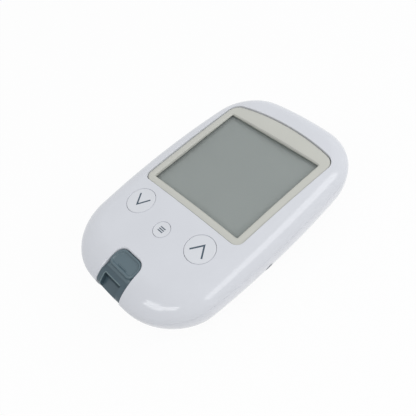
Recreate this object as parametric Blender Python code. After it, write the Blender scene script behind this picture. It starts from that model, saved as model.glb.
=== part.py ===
"""Blood glucose meter in two case halves, lying on its back: metres, +Z up.

The origin is in the middle of the footprint, at the level the meter rests on. +Y points to the display
end, -Y to the test-strip end, and +X to the side that carries the up button.
"""

import math

import bmesh
import bpy
from mathutils import Matrix, Vector

# Case: the room it leaves round the battery bay, the depth of its face, and the arcs of its plan outline
PORT_END_ROOM = 0.0278
DISPLAY_END_ROOM = 0.0186
FLANK_ROOM = 0.0165
SEAM_DEPTH = 0.0074
WIDEST_OFFSET = 0.0018
SIDE_BOW_RADIUS = 0.360
DISPLAY_END_RADIUS = 0.150
DISPLAY_CORNER_RADIUS = 0.0183
STRIP_END_RADIUS = 0.200
STRIP_CORNER_RADIUS = 0.0211

# Case: the crowned face, the shoulders round it, and the belly that curves in to the flat rest face
CROWN_ACROSS_RADIUS = 0.318
CROWN_ALONG_RADIUS = 0.603
SIDE_SHOULDER = 0.0078
DISPLAY_SHOULDER = 0.0059
STRIP_SHOULDER = 0.0112
ROUND_EXPONENT = 2.0
NOSE_EXPONENT = 1.74
SIDE_BELLY = 0.0141
DISPLAY_BELLY = 0.0150
STRIP_BELLY = 0.0265
SQUARE_IN_SHARE = 0.5

# Case: wall, running gap between pieces, and the tongue that joins the halves
WALL = 0.0019
GAP = 0.0003
RIM_OUTER = 0.0009
TONGUE_HEIGHT = 0.0010
OVERRUN = 0.0020

# Display frame, clear window, glass and its holder
FRAME_SIDE_MARGIN = 0.00695
FRAME_TAPER = 0.00045
FRAME_NEAR_MARGIN = 0.03685
FRAME_FAR_MARGIN = 0.01005
FRAME_ARCH_RADIUS = 0.103
FRAME_NEAR_CORNER = 0.0028
FRAME_FAR_CORNER = 0.0044
FRAME_DROP = 0.00035
FRAME_FLANGE = 0.0006
FRAME_FLANGE_THICKNESS = 0.0006
FRAME_ROUND = 0.0003
VIEW_SIDE_BORDER = 0.00315
VIEW_NEAR_BORDER = 0.00285
VIEW_FAR_BORDER = 0.00735
VIEW_CHAMFER = 0.00045
WINDOW_DEPTH = 0.00255
WINDOW_THICKNESS = 0.0007
WINDOW_LAP = 0.0010
FINE_GAP = 0.00015
LCD_THICKNESS = 0.0024
LCD_STANDOFF = 0.0033
LCD_FRONT_GLASS = 0.0012
LCD_LAP = 0.0012
LCD_CONTACT_EDGE = 0.0022
HOLDER_WALL = 0.0010
HOLDER_GRIP = 0.0006
HOLDER_LEDGE = 0.0017
ZEBRA_END_ROOM = 0.0025
ZEBRA_THICKNESS = 0.0016

# Buttons and their switches
SIDE_BUTTON_SIDE_MARGIN = 0.0156
SIDE_BUTTON_END_MARGIN = 0.02875
SIDE_BUTTON_RADIUS = 0.00515
MIDDLE_BUTTON_END_MARGIN = 0.02553
MIDDLE_BUTTON_RADIUS = 0.0030
BUTTON_DISH = 0.00012
BUTTON_EDGE = 0.00018
BUTTON_FLANGE = 0.0008
BUTTON_FLANGE_THICKNESS = 0.0007
BUTTON_STEM_RADIUS = 0.0014
BUTTON_TRAVEL = 0.0006
SWITCH_HALF_SIDE = 0.0026
SWITCH_BODY_HEIGHT = 0.0018
SWITCH_PLUNGER_RADIUS = 0.0012
SWITCH_PLUNGER_HEIGHT = 0.0009

# Strip port nose and the ejector slider
PORT_HALF_WIDTH = 0.00586
PORT_FLARE = 0.00039
PORT_LENGTH = 0.01355
PORT_BACK_CORNER = 0.0032
PORT_BELOW_BOARD = 0.0024
NOSE_INSET = 0.00035
NOSE_FLOOR_GAP = 0.0002
DECK_DEPTH = 0.0038
DECK_LENGTH = 0.0061
MOUTH_LENGTH = 0.0037
MOUTH_HALF_WIDTH = 0.0040
MOUTH_LIP = 0.0005
SLOT_HALF_WIDTH = 0.0036
SLOT_FLOOR_DEPTH = 0.0059
SLOT_HEIGHT = 0.0012
FUNNEL_DEPTH = 0.0025
RAMP_END_DEPTH = 0.0097
NOSE_BLOCK_LENGTH = 0.0102
NOSE_BLOCK_DEPTH = 0.0043
WING_HALF_WIDTH = 0.0088
WING_DEPTH = 0.0051
WING_END_MARGIN = 0.0078
WING_HEIGHT = 0.0030
PAD_END_MARGIN = 0.0064
PAD_FRONT_CORNER = 0.0024
PAD_RISE = 0.0003
PAD_RIM_DROP = 0.0003
PAD_EDGE = 0.0005
PAD_RIM_WIDTH = 0.0007
PAD_DISH = 0.0009
TAIL_THICKNESS = 0.0006
TAIL_HALF_WIDTH = 0.0052
TAIL_FRONT_MARGIN = 0.0095
TAIL_BACK_MARGIN = 0.0180
TAIL_LAP = 0.00015
LUG_THICKNESS = 0.0012
LUG_HALF_WIDTH = 0.0013
FINGER_HALF_WIDTH = 0.0010
EJECT_TRAVEL = 0.0025
EJECT_SPRING_RADIUS = 0.0011
EJECT_SPRING_WIRE = 0.00014
EJECT_SPRING_CURLS = 6
EJECT_SPRING_DEPTH = 0.0064

# Strip connector on the board
CONNECTOR_HALF_WIDTH = 0.0050
CONNECTOR_LENGTH = 0.0090
CONNECTOR_SLOT_LENGTH = 0.0070
CONTACT_COUNT = 4
CONTACT_PITCH = 0.0015
CONTACT_WIDTH = 0.0006
CONTACT_THICKNESS = 0.00016
CONTACT_BOW = 0.00025

# Circuit board and what sits on it
BOARD_THICKNESS = 0.0012
BOARD_SIDE_MARGIN = 0.0051
BOARD_FAR_MARGIN = 0.0110
BOARD_NEAR_MARGIN = 0.0250
BOARD_TONGUE_MARGIN = 0.0105
BOARD_TONGUE_HALF_WIDTH = 0.0120
BOARD_CORNER_CUT = 0.0040
CHIP_HALF_SIDE = 0.0050
CHIP_HEIGHT = 0.0012
CHIP_Y = 0.0100
BUZZER_RADIUS = 0.0050
BUZZER_HEIGHT = 0.0024
BUZZER_PORT_RADIUS = 0.0008
BUZZER_SIDE_MARGIN = 0.0050
BUZZER_Y = 0.0080

# Data jack on the right flank
JACK_Y = -0.0049
JACK_BELOW_BOARD = 0.0006
JACK_BORE_RADIUS = 0.00145
JACK_HOLE_RADIUS = 0.00155
JACK_BORE_SHARE = 0.8
JACK_BAY_GAP = 0.0017
JACK_HALF_WIDTH = 0.0030
JACK_HALF_HEIGHT = 0.0027

# Battery bay, cells, contacts and door
CELL_RADIUS = 0.00525
CELL_LENGTH = 0.0445
CELL_NUB_RADIUS = 0.0019
CELL_NUB_LENGTH = 0.0009
CELL_GAP = 0.0007
CELL_EDGE = 0.0005
BAY_WALL = 0.0016
BAY_ROOF = 0.0012
PLATE_THICKNESS = 0.0004
PLATE_HALF_WIDTH = 0.0036
PLATE_HEIGHT = 0.0075
BATTERY_SPRING_RADIUS = 0.0030
BATTERY_SPRING_TIP_RADIUS = 0.0016
BATTERY_SPRING_LENGTH = 0.0032
BATTERY_SPRING_WIRE = 0.00025
BATTERY_SPRING_CURLS = 3
DOOR_SIDE_LAP = 0.00105
DOOR_THICKNESS = 0.0018
DOOR_INSET = 0.00015
DOOR_CORNER = 0.0020
CELL_CLEARANCE = 0.00035
HINGE_RADIUS = 0.0015
HINGE_PIN_RADIUS = 0.0007
HINGE_PIN_LENGTH = 0.0009
LATCH_HALF_WIDTH = 0.0016
LATCH_THICKNESS = 0.0010
LATCH_HEIGHT = 0.0036

# Screws and the posts that they go into
FAR_SCREW_SIDE_MARGIN = 0.0151
FAR_SCREW_END_MARGIN = 0.0076
NEAR_SCREW_SIDE_MARGIN = 0.0096
NEAR_SCREW_END_MARGIN = 0.0175
BOARD_SCREW_SIDE_MARGIN = 0.0035
BOARD_SCREW_VIEW_MARGIN = 0.0072
POST_RADIUS = 0.0022
POST_BORE_RADIUS = 0.0012
POST_BORE_LENGTH = 0.0080
COLUMN_WALL = 0.0011
COLUMN_HEIGHT = 0.0103
SCREW_SEAT_THICKNESS = 0.0018
SCREW_HEAD_RADIUS = 0.0022
SCREW_HEAD_HEIGHT = 0.0015
SCREW_RADIUS = 0.0009
SCREW_LENGTH = 0.0075
SCREW_RECESS_RADIUS = 0.0009
SCREW_RECESS_DEPTH = 0.0007
BOARD_POST_RADIUS = 0.0024
BOARD_SCREW_LENGTH = 0.0050
BOARD_SCREW_HEAD_RADIUS = 0.0018
BOARD_SCREW_HEAD_HEIGHT = 0.0010

# How finely the round shapes are drawn
END_STEPS = 4
CORNER_STEPS = 8
SIDE_STEPS = 4
SHOULDER_STEPS = 6
BELLY_STEPS = 6
CIRCLE_SIDES = 32
SMALL_CIRCLE_SIDES = 16
ROUND_CORNER_STEPS = 5
CURL_POINTS = 9
CROWN_RING_SHARES = (0.8, 0.5, 0.22)
ARCH_SHARES = (0.66, 0.33, 0.0, -0.33, -0.66)
CONTACT_SHARES = (0.0, 0.2, 0.4, 0.6, 0.8, 1.0)
SMOOTH_ANGLE = math.radians(35)

# Heights that follow from the sizes above, from the rest face up through the cells to the crown
cell_height = DOOR_INSET + DOOR_THICKNESS + CELL_CLEARANCE + CELL_RADIUS
bay_ceiling = cell_height + CELL_RADIUS + GAP
board_bottom = bay_ceiling + BAY_ROOF + GAP
board_top = board_bottom + BOARD_THICKNESS
lcd_bottom = board_top + LCD_STANDOFF
lcd_top = lcd_bottom + LCD_THICKNESS
window_top = lcd_top + FINE_GAP + WINDOW_THICKNESS
case_height = window_top + WINDOW_DEPTH
seam_height = case_height - SEAM_DEPTH
holder_top = lcd_bottom + HOLDER_GRIP
frame_bottom = holder_top + GAP
switch_top = board_top + FINE_GAP + SWITCH_BODY_HEIGHT + SWITCH_PLUNGER_HEIGHT
port_bottom = board_bottom - PORT_BELOW_BOARD
nose_floor_height = port_bottom + NOSE_FLOOR_GAP
deck_height = case_height - DECK_DEPTH
slot_floor = case_height - SLOT_FLOOR_DEPTH
ramp_end_height = case_height - RAMP_END_DEPTH
nose_block_top = case_height - NOSE_BLOCK_DEPTH
wing_top = case_height - WING_DEPTH
eject_spring_height = case_height - EJECT_SPRING_DEPTH
pad_bottom = deck_height + PAD_RISE
tail_top = pad_bottom + TAIL_LAP
tail_bottom = tail_top - TAIL_THICKNESS
jack_height = board_bottom - JACK_BELOW_BOARD - JACK_HALF_HEIGHT
hinge_height = DOOR_INSET + HINGE_RADIUS
column_top = COLUMN_HEIGHT
screw_seat = column_top - SCREW_SEAT_THICKNESS

# The case is as long and as wide as the battery bay and the room round it
bay_length = BATTERY_SPRING_LENGTH + CELL_LENGTH + PLATE_THICKNESS + GAP * 5
case_length = PORT_END_ROOM + bay_length + DISPLAY_END_ROOM
display_end = case_length / 2
strip_end = -case_length / 2
cell_spacing = CELL_RADIUS * 2 + CELL_GAP
bay_half_width = cell_spacing / 2 + CELL_RADIUS + GAP
door_half_width = bay_half_width + DOOR_SIDE_LAP
block_half_width = door_half_width + GAP + BAY_WALL
case_half_width = block_half_width + FLANK_ROOM
case_width = case_half_width * 2

# Places along the battery bay
bay_near_end = strip_end + PORT_END_ROOM
bay_far_end = bay_near_end + bay_length
door_near_edge = bay_near_end - BAY_WALL
hinge_y = bay_far_end + HINGE_RADIUS + GAP
cell_near_end = bay_near_end + BATTERY_SPRING_LENGTH + GAP * 2

# Places on the face, in from the flanks and from the two ends
frame_half_width = case_half_width - FRAME_SIDE_MARGIN
frame_near_edge = strip_end + FRAME_NEAR_MARGIN
frame_far_edge = display_end - FRAME_FAR_MARGIN
view_half_width = frame_half_width - VIEW_SIDE_BORDER
view_near_edge = frame_near_edge + VIEW_NEAR_BORDER
view_far_edge = frame_far_edge - VIEW_FAR_BORDER
zebra_half_length = view_half_width - ZEBRA_END_ROOM
side_button_x = case_half_width - SIDE_BUTTON_SIDE_MARGIN
side_button_y = strip_end + SIDE_BUTTON_END_MARGIN
middle_button_y = strip_end + MIDDLE_BUTTON_END_MARGIN
port_back_edge = strip_end + PORT_LENGTH
deck_back_edge = strip_end + DECK_LENGTH
mouth_back_edge = strip_end + MOUTH_LENGTH
nose_block_back = strip_end + NOSE_BLOCK_LENGTH
wing_front = strip_end + WING_END_MARGIN
pad_front_edge = strip_end + PAD_END_MARGIN
tail_front = strip_end + TAIL_FRONT_MARGIN
tail_back = strip_end + TAIL_BACK_MARGIN

# Places on the board and of the screws
board_half_width = case_half_width - BOARD_SIDE_MARGIN
board_far_edge = display_end - BOARD_FAR_MARGIN
board_near_edge = strip_end + BOARD_NEAR_MARGIN
board_tongue_edge = strip_end + BOARD_TONGUE_MARGIN
buzzer_x = BUZZER_SIDE_MARGIN - board_half_width
far_screw_x = case_half_width - FAR_SCREW_SIDE_MARGIN
far_screw_y = display_end - FAR_SCREW_END_MARGIN
near_screw_x = case_half_width - NEAR_SCREW_SIDE_MARGIN
near_screw_y = strip_end + NEAR_SCREW_END_MARGIN
board_screw_x = board_half_width - BOARD_SCREW_SIDE_MARGIN
board_screw_y = view_near_edge - BOARD_SCREW_VIEW_MARGIN


def linear(red, green, blue):
    """Scene-linear colour of an 8-bit display colour."""
    return tuple((channel / 255) ** 2.2 for channel in (red, green, blue)) + (1.0,)


def material(name, colour, roughness=0.4, metallic=0.0, alpha=1.0):
    made = bpy.data.materials.new(name)
    made.use_nodes = True
    shader = made.node_tree.nodes["Principled BSDF"]
    shader.inputs["Base Color"].default_value = linear(*colour)
    shader.inputs["Roughness"].default_value = roughness
    shader.inputs["Metallic"].default_value = metallic
    shader.inputs["Alpha"].default_value = alpha
    made.diffuse_color = linear(*colour)
    return made


def add_mesh(name, points, faces, finish=None):
    """A mesh object with its faces pointing out."""
    mesh = bpy.data.meshes.new(name)
    mesh.from_pydata([tuple(point) for point in points], [], faces)
    shape = bmesh.new()
    shape.from_mesh(mesh)
    bmesh.ops.recalc_face_normals(shape, faces=shape.faces)
    if shape.calc_volume(signed=True) < 0:
        bmesh.ops.reverse_faces(shape, faces=shape.faces)
    shape.to_mesh(mesh)
    shape.free()
    mesh.shade_smooth()
    mesh.set_sharp_from_angle(angle=SMOOTH_ANGLE)
    thing = bpy.data.objects.new(name, mesh)
    bpy.context.collection.objects.link(thing)
    if finish:
        mesh.materials.append(finish)
    return thing


def loft(name, rings, finish=None):
    """Joins rings of equally many points, one after another. A ring of one point closes an end."""
    points, faces, starts = [], [], []
    for ring in rings:
        starts.append(len(points))
        points.extend(ring)
    for index in range(len(rings) - 1):
        low, high = rings[index], rings[index + 1]
        start, above = starts[index], starts[index + 1]
        count = max(len(low), len(high))
        for step in range(count):
            after = (step + 1) % count
            if len(low) == 1:
                faces.append((start, above + after, above + step))
            elif len(high) == 1:
                faces.append((start + step, start + after, above))
            else:
                faces.append((start + step, start + after, above + after, above + step))
    if len(rings[0]) > 1:
        faces.append(tuple(range(len(rings[0])))[::-1])
    if len(rings[-1]) > 1:
        faces.append(tuple(range(starts[-1], starts[-1] + len(rings[-1]))))
    return add_mesh(name, points, faces, finish)


def prism(name, outline, bottom, top, finish=None):
    """An upright prism on a plan outline."""
    return loft(name, [[(x, y, z) for x, y in outline] for z in (bottom, top)], finish)


def box(name, x, y, z, finish=None):
    """A box from three pairs of limits."""
    return prism(name, [(x[0], y[0]), (x[1], y[0]), (x[1], y[1]), (x[0], y[1])], z[0], z[1], finish)


def across_prism(name, profile, half_width, finish=None, middle=0.0):
    """A prism along X whose outline is given as Y and Z."""
    rings = [[(middle + side * half_width, y, z) for y, z in profile] for side in (-1, 1)]
    return loft(name, rings, finish)


def circle(radius, sides=CIRCLE_SIDES, centre=(0.0, 0.0)):
    """The points of a circle in plan."""
    turn = 2 * math.pi / sides
    return [
        (centre[0] + radius * math.cos(turn * step), centre[1] + radius * math.sin(turn * step))
        for step in range(sides)
    ]


def turned(name, profile, finish=None, sides=CIRCLE_SIDES, axis="Z", centre=(0.0, 0.0, 0.0)):
    """Turns a profile of radius and height round an axis."""
    rings = []
    for radius, height in profile:
        ring = []
        for first, second in circle(radius, sides):
            place = {
                "X": (height, first, second),
                "Y": (second, height, first),
                "Z": (first, second, height),
            }
            ring.append(tuple(Vector(centre) + Vector(place[axis])))
        rings.append(ring)
    return loft(name, rings, finish)


def helper(thing):
    """Marks a cutter or a joined shape as a construction aid."""
    thing.hide_render = True
    thing.display_type = "WIRE"
    return thing


def combine(thing, other, operation):
    """Adds an exact Boolean with another shape to an object."""
    modifier = thing.modifiers.new(f"{operation.lower()} {other.name}", "BOOLEAN")
    modifier.operation = operation
    modifier.solver = "EXACT"
    modifier.object = helper(other)
    return thing


def cut(thing, other):
    return combine(thing, other, "DIFFERENCE")


def unite(thing, other):
    return combine(thing, other, "UNION")


def move_origins(things, place):
    """Moves the origins of objects to a place and leaves their shapes where they are."""
    for thing in things:
        thing.data.transform(Matrix.Translation(-Vector(place)))
        thing.location = place


def corner_centre(side_centre, side_radius, end_centre, end_radius, corner_radius):
    """Centre of the corner arc that touches a side arc and an end arc from within."""
    side_reach = side_radius - corner_radius
    end_reach = end_radius - corner_radius
    between = end_centre - side_centre
    span = between.length
    along = (side_reach**2 - end_reach**2 + span**2) / (2 * span)
    across = math.sqrt(max(side_reach**2 - along**2, 0.0))
    step = between / span
    square = Vector((-step.y, step.x))
    choices = [side_centre + step * along + square * across * sign for sign in (-1, 1)]
    return max(choices, key=lambda place: place.x)


def quarter_outline(end_radius, corner_radius, sign):
    """Points and outward directions of a quarter of the case, from its side to its end."""
    side_centre = Vector((case_half_width - SIDE_BOW_RADIUS, WIDEST_OFFSET))
    end_centre = Vector((0.0, sign * (display_end - end_radius)))
    middle = corner_centre(side_centre, SIDE_BOW_RADIUS, end_centre, end_radius, corner_radius)
    from_side = middle - side_centre
    from_end = middle - end_centre
    first = math.atan2(from_side.y, from_side.x)
    second = math.atan2(from_end.y, from_end.x)
    arcs = (
        (side_centre, SIDE_BOW_RADIUS, 0.0, first, SIDE_STEPS),
        (middle, corner_radius, first, second, CORNER_STEPS),
        (end_centre, end_radius, second, sign * math.pi / 2, END_STEPS),
    )
    found = []
    for centre, radius, start, stop, steps in arcs:
        for step in range(steps):
            angle = start + (stop - start) * step / steps
            way = Vector((math.cos(angle), math.sin(angle)))
            found.append((centre + way * radius, way))
    found.append((Vector((0.0, sign * display_end)), Vector((0.0, float(sign)))))
    return found


def case_outline():
    """Points and outward directions right round the case at its widest level, anticlockwise."""
    near = quarter_outline(STRIP_END_RADIUS, STRIP_CORNER_RADIUS, -1)
    far = quarter_outline(DISPLAY_END_RADIUS, DISPLAY_CORNER_RADIUS, 1)
    right = near[::-1] + far[1:]
    left = [(Vector((-place.x, place.y)), Vector((-way.x, way.y))) for place, way in right[-2:0:-1]]
    return right + left


OUTLINE = case_outline()


def blended(way, side, display, strip):
    """A size that changes from the sides of the case to its two ends."""
    end = display if way.y > 0 else strip
    return side * way.x**2 + end * way.y**2


def crown(x, y):
    """Height of the crowned face."""
    return case_height - x**2 / (2 * CROWN_ACROSS_RADIUS) - y**2 / (2 * CROWN_ALONG_RADIUS)


def shoulder_share(way, share):
    """How high the shoulder stands, as a share of its height, at a share of its width from the seam."""
    exponent = ROUND_EXPONENT + (NOSE_EXPONENT - ROUND_EXPONENT) * way.y**2 * (way.y < 0)
    return (1 - max(1 - share, 0.0) ** exponent) ** (1 / exponent)


def shoulder_ring(angle, inset=0.0, base=seam_height, drop=0.0):
    """The ring of the shoulder at an angle of its curve, from the seam (0) to the crown (a quarter turn)."""
    ring = []
    for place, way in OUTLINE:
        share = 1 - math.cos(angle)
        width = blended(way, SIDE_SHOULDER, DISPLAY_SHOULDER, STRIP_SHOULDER)
        spot = place - way * (inset + (width - inset) * share)
        rise = crown(spot.x, spot.y) - drop - base
        ring.append((spot.x, spot.y, base + rise * shoulder_share(way, share)))
    return ring


def foot_point(place):
    """Where a point of the case outline ends up on the edge of the rest face."""
    across = 1 - 2 * SIDE_BELLY / case_width
    along = 1 - (DISPLAY_BELLY + STRIP_BELLY) / case_length
    return Vector((place.x * across, (STRIP_BELLY - DISPLAY_BELLY) / 2 + place.y * along))


def belly_ring(angle, inset=0.0, top=seam_height, bottom=0.0):
    """The ring of the belly at an angle of its curve, from the seam (0) to the rest face (a quarter turn).

    The first rings step in square to the outline. The last ones head for a smaller copy of the outline
    instead, because stepping in any further would fold them at the corners.
    """
    ring = []
    for place, way in OUTLINE:
        width = blended(way, SIDE_BELLY, DISPLAY_BELLY, STRIP_BELLY)
        share = min(1 - math.cos(angle), SQUARE_IN_SHARE)
        spot = place - way * (inset + (width - inset) * share)
        late = max(1 - math.cos(angle) - SQUARE_IN_SHARE, 0.0) / (1 - SQUARE_IN_SHARE)
        spot = spot.lerp(foot_point(place), late)
        ring.append((spot.x, spot.y, top - (top - bottom) * math.sin(angle)))
    return ring


def level_ring(inset, height):
    return [tuple(place - way * inset) + (height,) for place, way in OUTLINE]


def crown_rings(edge, drop=0.0):
    """Rings from the edge of the crowned face in to its middle."""
    middle = Vector((0.0, WIDEST_OFFSET))
    rings = []
    for share in CROWN_RING_SHARES:
        ring = []
        for x, y, _ in edge:
            spot = middle + (Vector((x, y)) - middle) * share
            ring.append((spot.x, spot.y, crown(spot.x, spot.y) - drop))
        rings.append(ring)
    return rings + [[(middle.x, middle.y, crown(middle.x, middle.y) - drop)]]


def quarter_angles(steps):
    return [math.pi / 2 * step / steps for step in range(steps + 1)]


def case_core(name, drop):
    """The whole outer form of the case as one solid, drawn in by a small depth."""
    belly = [belly_ring(angle, drop, seam_height, drop) for angle in quarter_angles(BELLY_STEPS)[::-1]]
    shoulder = [shoulder_ring(angle, drop, seam_height, drop) for angle in quarter_angles(SHOULDER_STEPS)]
    return loft(name, belly + shoulder[1:] + crown_rings(shoulder[-1], drop))


def within_case(thing, core):
    """Trims an inner post or column to the middle of the case wall."""
    return combine(thing, core, "INTERSECT")


def rounded(corners):
    """A plan outline whose corners, given as x, y and radius, are rounded by arcs."""
    outline = []
    count = len(corners)
    for index, (x, y, radius) in enumerate(corners):
        here = Vector((x, y))
        before = (Vector(corners[index - 1][:2]) - here).normalized()
        after = (Vector(corners[(index + 1) % count][:2]) - here).normalized()
        if radius <= 0:
            outline.append(tuple(here))
            continue
        half = before.angle(after) / 2
        bisector = (before + after).normalized()
        centre = here + bisector * (radius / math.sin(half))
        start = here + before * (radius / math.tan(half)) - centre
        turn = math.pi - 2 * half
        sign = 1 if before.cross(after) < 0 else -1
        for step in range(ROUND_CORNER_STEPS + 1):
            angle = sign * turn * step / ROUND_CORNER_STEPS
            cosine, sine = math.cos(angle), math.sin(angle)
            way = Vector((start.x * cosine - start.y * sine, start.x * sine + start.y * cosine))
            outline.append(tuple(centre + way))
    return outline


def display_outline(grow=0.0):
    """The frame's plan outline: straight near edge, slightly spreading sides and an arched far edge."""
    half = frame_half_width + grow
    far = frame_far_edge + grow
    near = frame_near_edge - grow
    radius = FRAME_ARCH_RADIUS + grow

    def arch(x):
        return far - x**2 / (2 * radius)

    near_half = half - FRAME_TAPER
    inner = half - (FRAME_FAR_CORNER + grow)
    crest = [(inner * share, arch(inner * share), 0.0) for share in ARCH_SHARES]
    return rounded(
        [
            (-near_half, near, FRAME_NEAR_CORNER + grow),
            (near_half, near, FRAME_NEAR_CORNER + grow),
            (half, arch(half), FRAME_FAR_CORNER + grow),
        ]
        + crest
        + [(-half, arch(half), FRAME_FAR_CORNER + grow)]
    )


def rectangle(half, near, far, grow=0.0):
    return [
        (-half - grow, near - grow),
        (half + grow, near - grow),
        (half + grow, far + grow),
        (-half - grow, far + grow),
    ]


def port_outline(grow=0.0, near=strip_end - OVERRUN, near_corner=0.0):
    """The strip port's plan outline, open towards the end of the case."""
    spread = PORT_FLARE * (port_back_edge - near) / (port_back_edge - strip_end)
    return rounded(
        [
            (-PORT_HALF_WIDTH - spread - grow, near, near_corner),
            (PORT_HALF_WIDTH + spread + grow, near, near_corner),
            (PORT_HALF_WIDTH + grow, port_back_edge + grow, PORT_BACK_CORNER + grow),
            (-PORT_HALF_WIDTH - grow, port_back_edge + grow, PORT_BACK_CORNER + grow),
        ]
    )


def case_screw_places():
    return [
        (side * x, y)
        for x, y in ((far_screw_x, far_screw_y), (near_screw_x, near_screw_y))
        for side in (-1, 1)
    ]


def button_places():
    """Name, x, y and radius of each button."""
    return [
        ("down", -side_button_x, side_button_y, SIDE_BUTTON_RADIUS),
        ("middle", 0.0, middle_button_y, MIDDLE_BUTTON_RADIUS),
        ("up", side_button_x, side_button_y, SIDE_BUTTON_RADIUS),
    ]


def build_front_shell(finish):
    """Upper case half: crowned face, shoulders, rebated rim and four screw posts."""
    seam = seam_height + GAP / 2
    rebate = seam + TONGUE_HEIGHT + GAP
    angles = quarter_angles(SHOULDER_STEPS)
    outer = [shoulder_ring(angle, 0.0, seam) for angle in angles]
    inner = [shoulder_ring(angle, WALL, rebate, WALL) for angle in angles]
    rings = crown_rings(outer[-1])[::-1] + outer[::-1]
    rings += [level_ring(RIM_OUTER, seam), level_ring(RIM_OUTER, rebate)]
    rings += inner + crown_rings(inner[-1], WALL)
    shell = loft("front_shell", rings, finish)
    core = case_core("front post limit", WALL / 2)
    for index, (x, y) in enumerate(case_screw_places()):
        post = turned(
            f"post {index}",
            [(POST_RADIUS, column_top + GAP), (POST_RADIUS, case_height)],
            sides=SMALL_CIRCLE_SIDES,
            centre=(x, y, 0.0),
        )
        unite(shell, within_case(post, core))
        bore_top = column_top + POST_BORE_LENGTH
        bore = turned(
            f"post bore {index}",
            [(POST_BORE_RADIUS, column_top - OVERRUN), (POST_BORE_RADIUS, bore_top)],
            sides=SMALL_CIRCLE_SIDES,
            centre=(x, y, 0.0),
        )
        cut(shell, bore)
    cut(shell, prism("display opening", display_outline(GAP), seam_height + GAP, case_height + OVERRUN))
    for name, x, y, radius in button_places():
        outline = circle(radius + GAP, centre=(x, y))
        cut(shell, prism(f"{name} hole", outline, seam_height + GAP, case_height + OVERRUN))
    cut(shell, prism("upper port opening", port_outline(), port_bottom, case_height + OVERRUN))
    return shell


def build_back_shell(finish):
    """Lower case half: belly, tongue, battery bay, screw columns, port notch and jack hole."""
    seam = seam_height - GAP / 2
    tongue_inset = RIM_OUTER + GAP
    angles = quarter_angles(BELLY_STEPS)
    outer = [belly_ring(angle, 0.0, seam) for angle in angles]
    inner = [belly_ring(angle, WALL, seam, WALL) for angle in angles]
    rings = outer[::-1] + [level_ring(tongue_inset, seam), level_ring(tongue_inset, seam + TONGUE_HEIGHT)]
    rings += [level_ring(WALL, seam + TONGUE_HEIGHT)] + inner
    shell = loft("back_shell", rings, finish)
    sunk = WALL / 2
    block = box(
        "bay block",
        (-block_half_width, block_half_width),
        (bay_near_end - BAY_WALL, hinge_y + HINGE_RADIUS + GAP + BAY_WALL),
        (sunk, bay_ceiling + BAY_ROOF),
    )
    unite(shell, block)
    core = case_core("back post limit", WALL / 2)
    head_room = SCREW_HEAD_RADIUS + GAP
    for index, (x, y) in enumerate(case_screw_places()):
        column = turned(
            f"column {index}",
            [(head_room + COLUMN_WALL, 0.0), (head_room + COLUMN_WALL, column_top)],
            centre=(x, y, 0.0),
        )
        unite(shell, within_case(column, core))
        counterbore = turned(
            f"counterbore {index}",
            [(head_room, -OVERRUN), (head_room, screw_seat)]
            + [(SCREW_RADIUS + GAP, screw_seat), (SCREW_RADIUS + GAP, column_top + OVERRUN)],
            centre=(x, y, 0.0),
        )
        cut(shell, counterbore)
    for side in (-1, 1):
        post = turned(
            f"board post {side}",
            [(BOARD_POST_RADIUS, 0.0), (BOARD_POST_RADIUS, board_bottom - GAP)],
            sides=SMALL_CIRCLE_SIDES,
            centre=(side * board_screw_x, board_screw_y, 0.0),
        )
        unite(shell, within_case(post, core))
        bore_bottom = board_bottom - BOARD_SCREW_LENGTH - GAP
        bore = turned(
            f"board post bore {side}",
            [(POST_BORE_RADIUS, bore_bottom), (POST_BORE_RADIUS, board_bottom + OVERRUN)],
            sides=SMALL_CIRCLE_SIDES,
            centre=(side * board_screw_x, board_screw_y, 0.0),
        )
        cut(shell, bore)
    bay = box(
        "bay",
        (-bay_half_width, bay_half_width),
        (bay_near_end, bay_far_end),
        (-OVERRUN, bay_ceiling),
    )
    cut(shell, bay)
    door_top = DOOR_INSET + DOOR_THICKNESS + GAP
    door_room = prism("door room", door_outline(GAP), -OVERRUN, door_top)
    cut(shell, door_room)
    groove_half = door_half_width + GAP
    groove = box(
        "hinge groove",
        (-groove_half, groove_half),
        (hinge_y - HINGE_RADIUS - GAP * 2, hinge_y + HINGE_RADIUS + GAP),
        (-OVERRUN, hinge_height + HINGE_RADIUS + GAP),
    )
    cut(shell, groove)
    pin_reach = door_half_width + HINGE_PIN_LENGTH + GAP
    pin_hole = turned(
        "hinge pin hole",
        [(HINGE_PIN_RADIUS + GAP, -pin_reach), (HINGE_PIN_RADIUS + GAP, pin_reach)],
        sides=SMALL_CIRCLE_SIDES,
        axis="X",
        centre=(0.0, hinge_y, hinge_height),
    )
    cut(shell, pin_hole)
    cut(shell, prism("lower port opening", port_outline(), port_bottom, case_height + OVERRUN))
    jack_hole = turned(
        "jack hole",
        [(JACK_HOLE_RADIUS, case_half_width - SIDE_BELLY), (JACK_HOLE_RADIUS, case_half_width + OVERRUN)],
        sides=SMALL_CIRCLE_SIDES,
        axis="X",
        centre=(0.0, JACK_Y, jack_height),
    )
    cut(shell, jack_hole)
    return shell


def door_outline(grow=0.0):
    """The battery door's plan outline; its far edge is the hinge barrel."""
    far = hinge_y
    return rounded(
        [
            (-door_half_width - grow, door_near_edge - grow, DOOR_CORNER),
            (door_half_width + grow, door_near_edge - grow, DOOR_CORNER),
            (door_half_width + grow, far, 0.0),
            (-door_half_width - grow, far, 0.0),
        ]
    )


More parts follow.
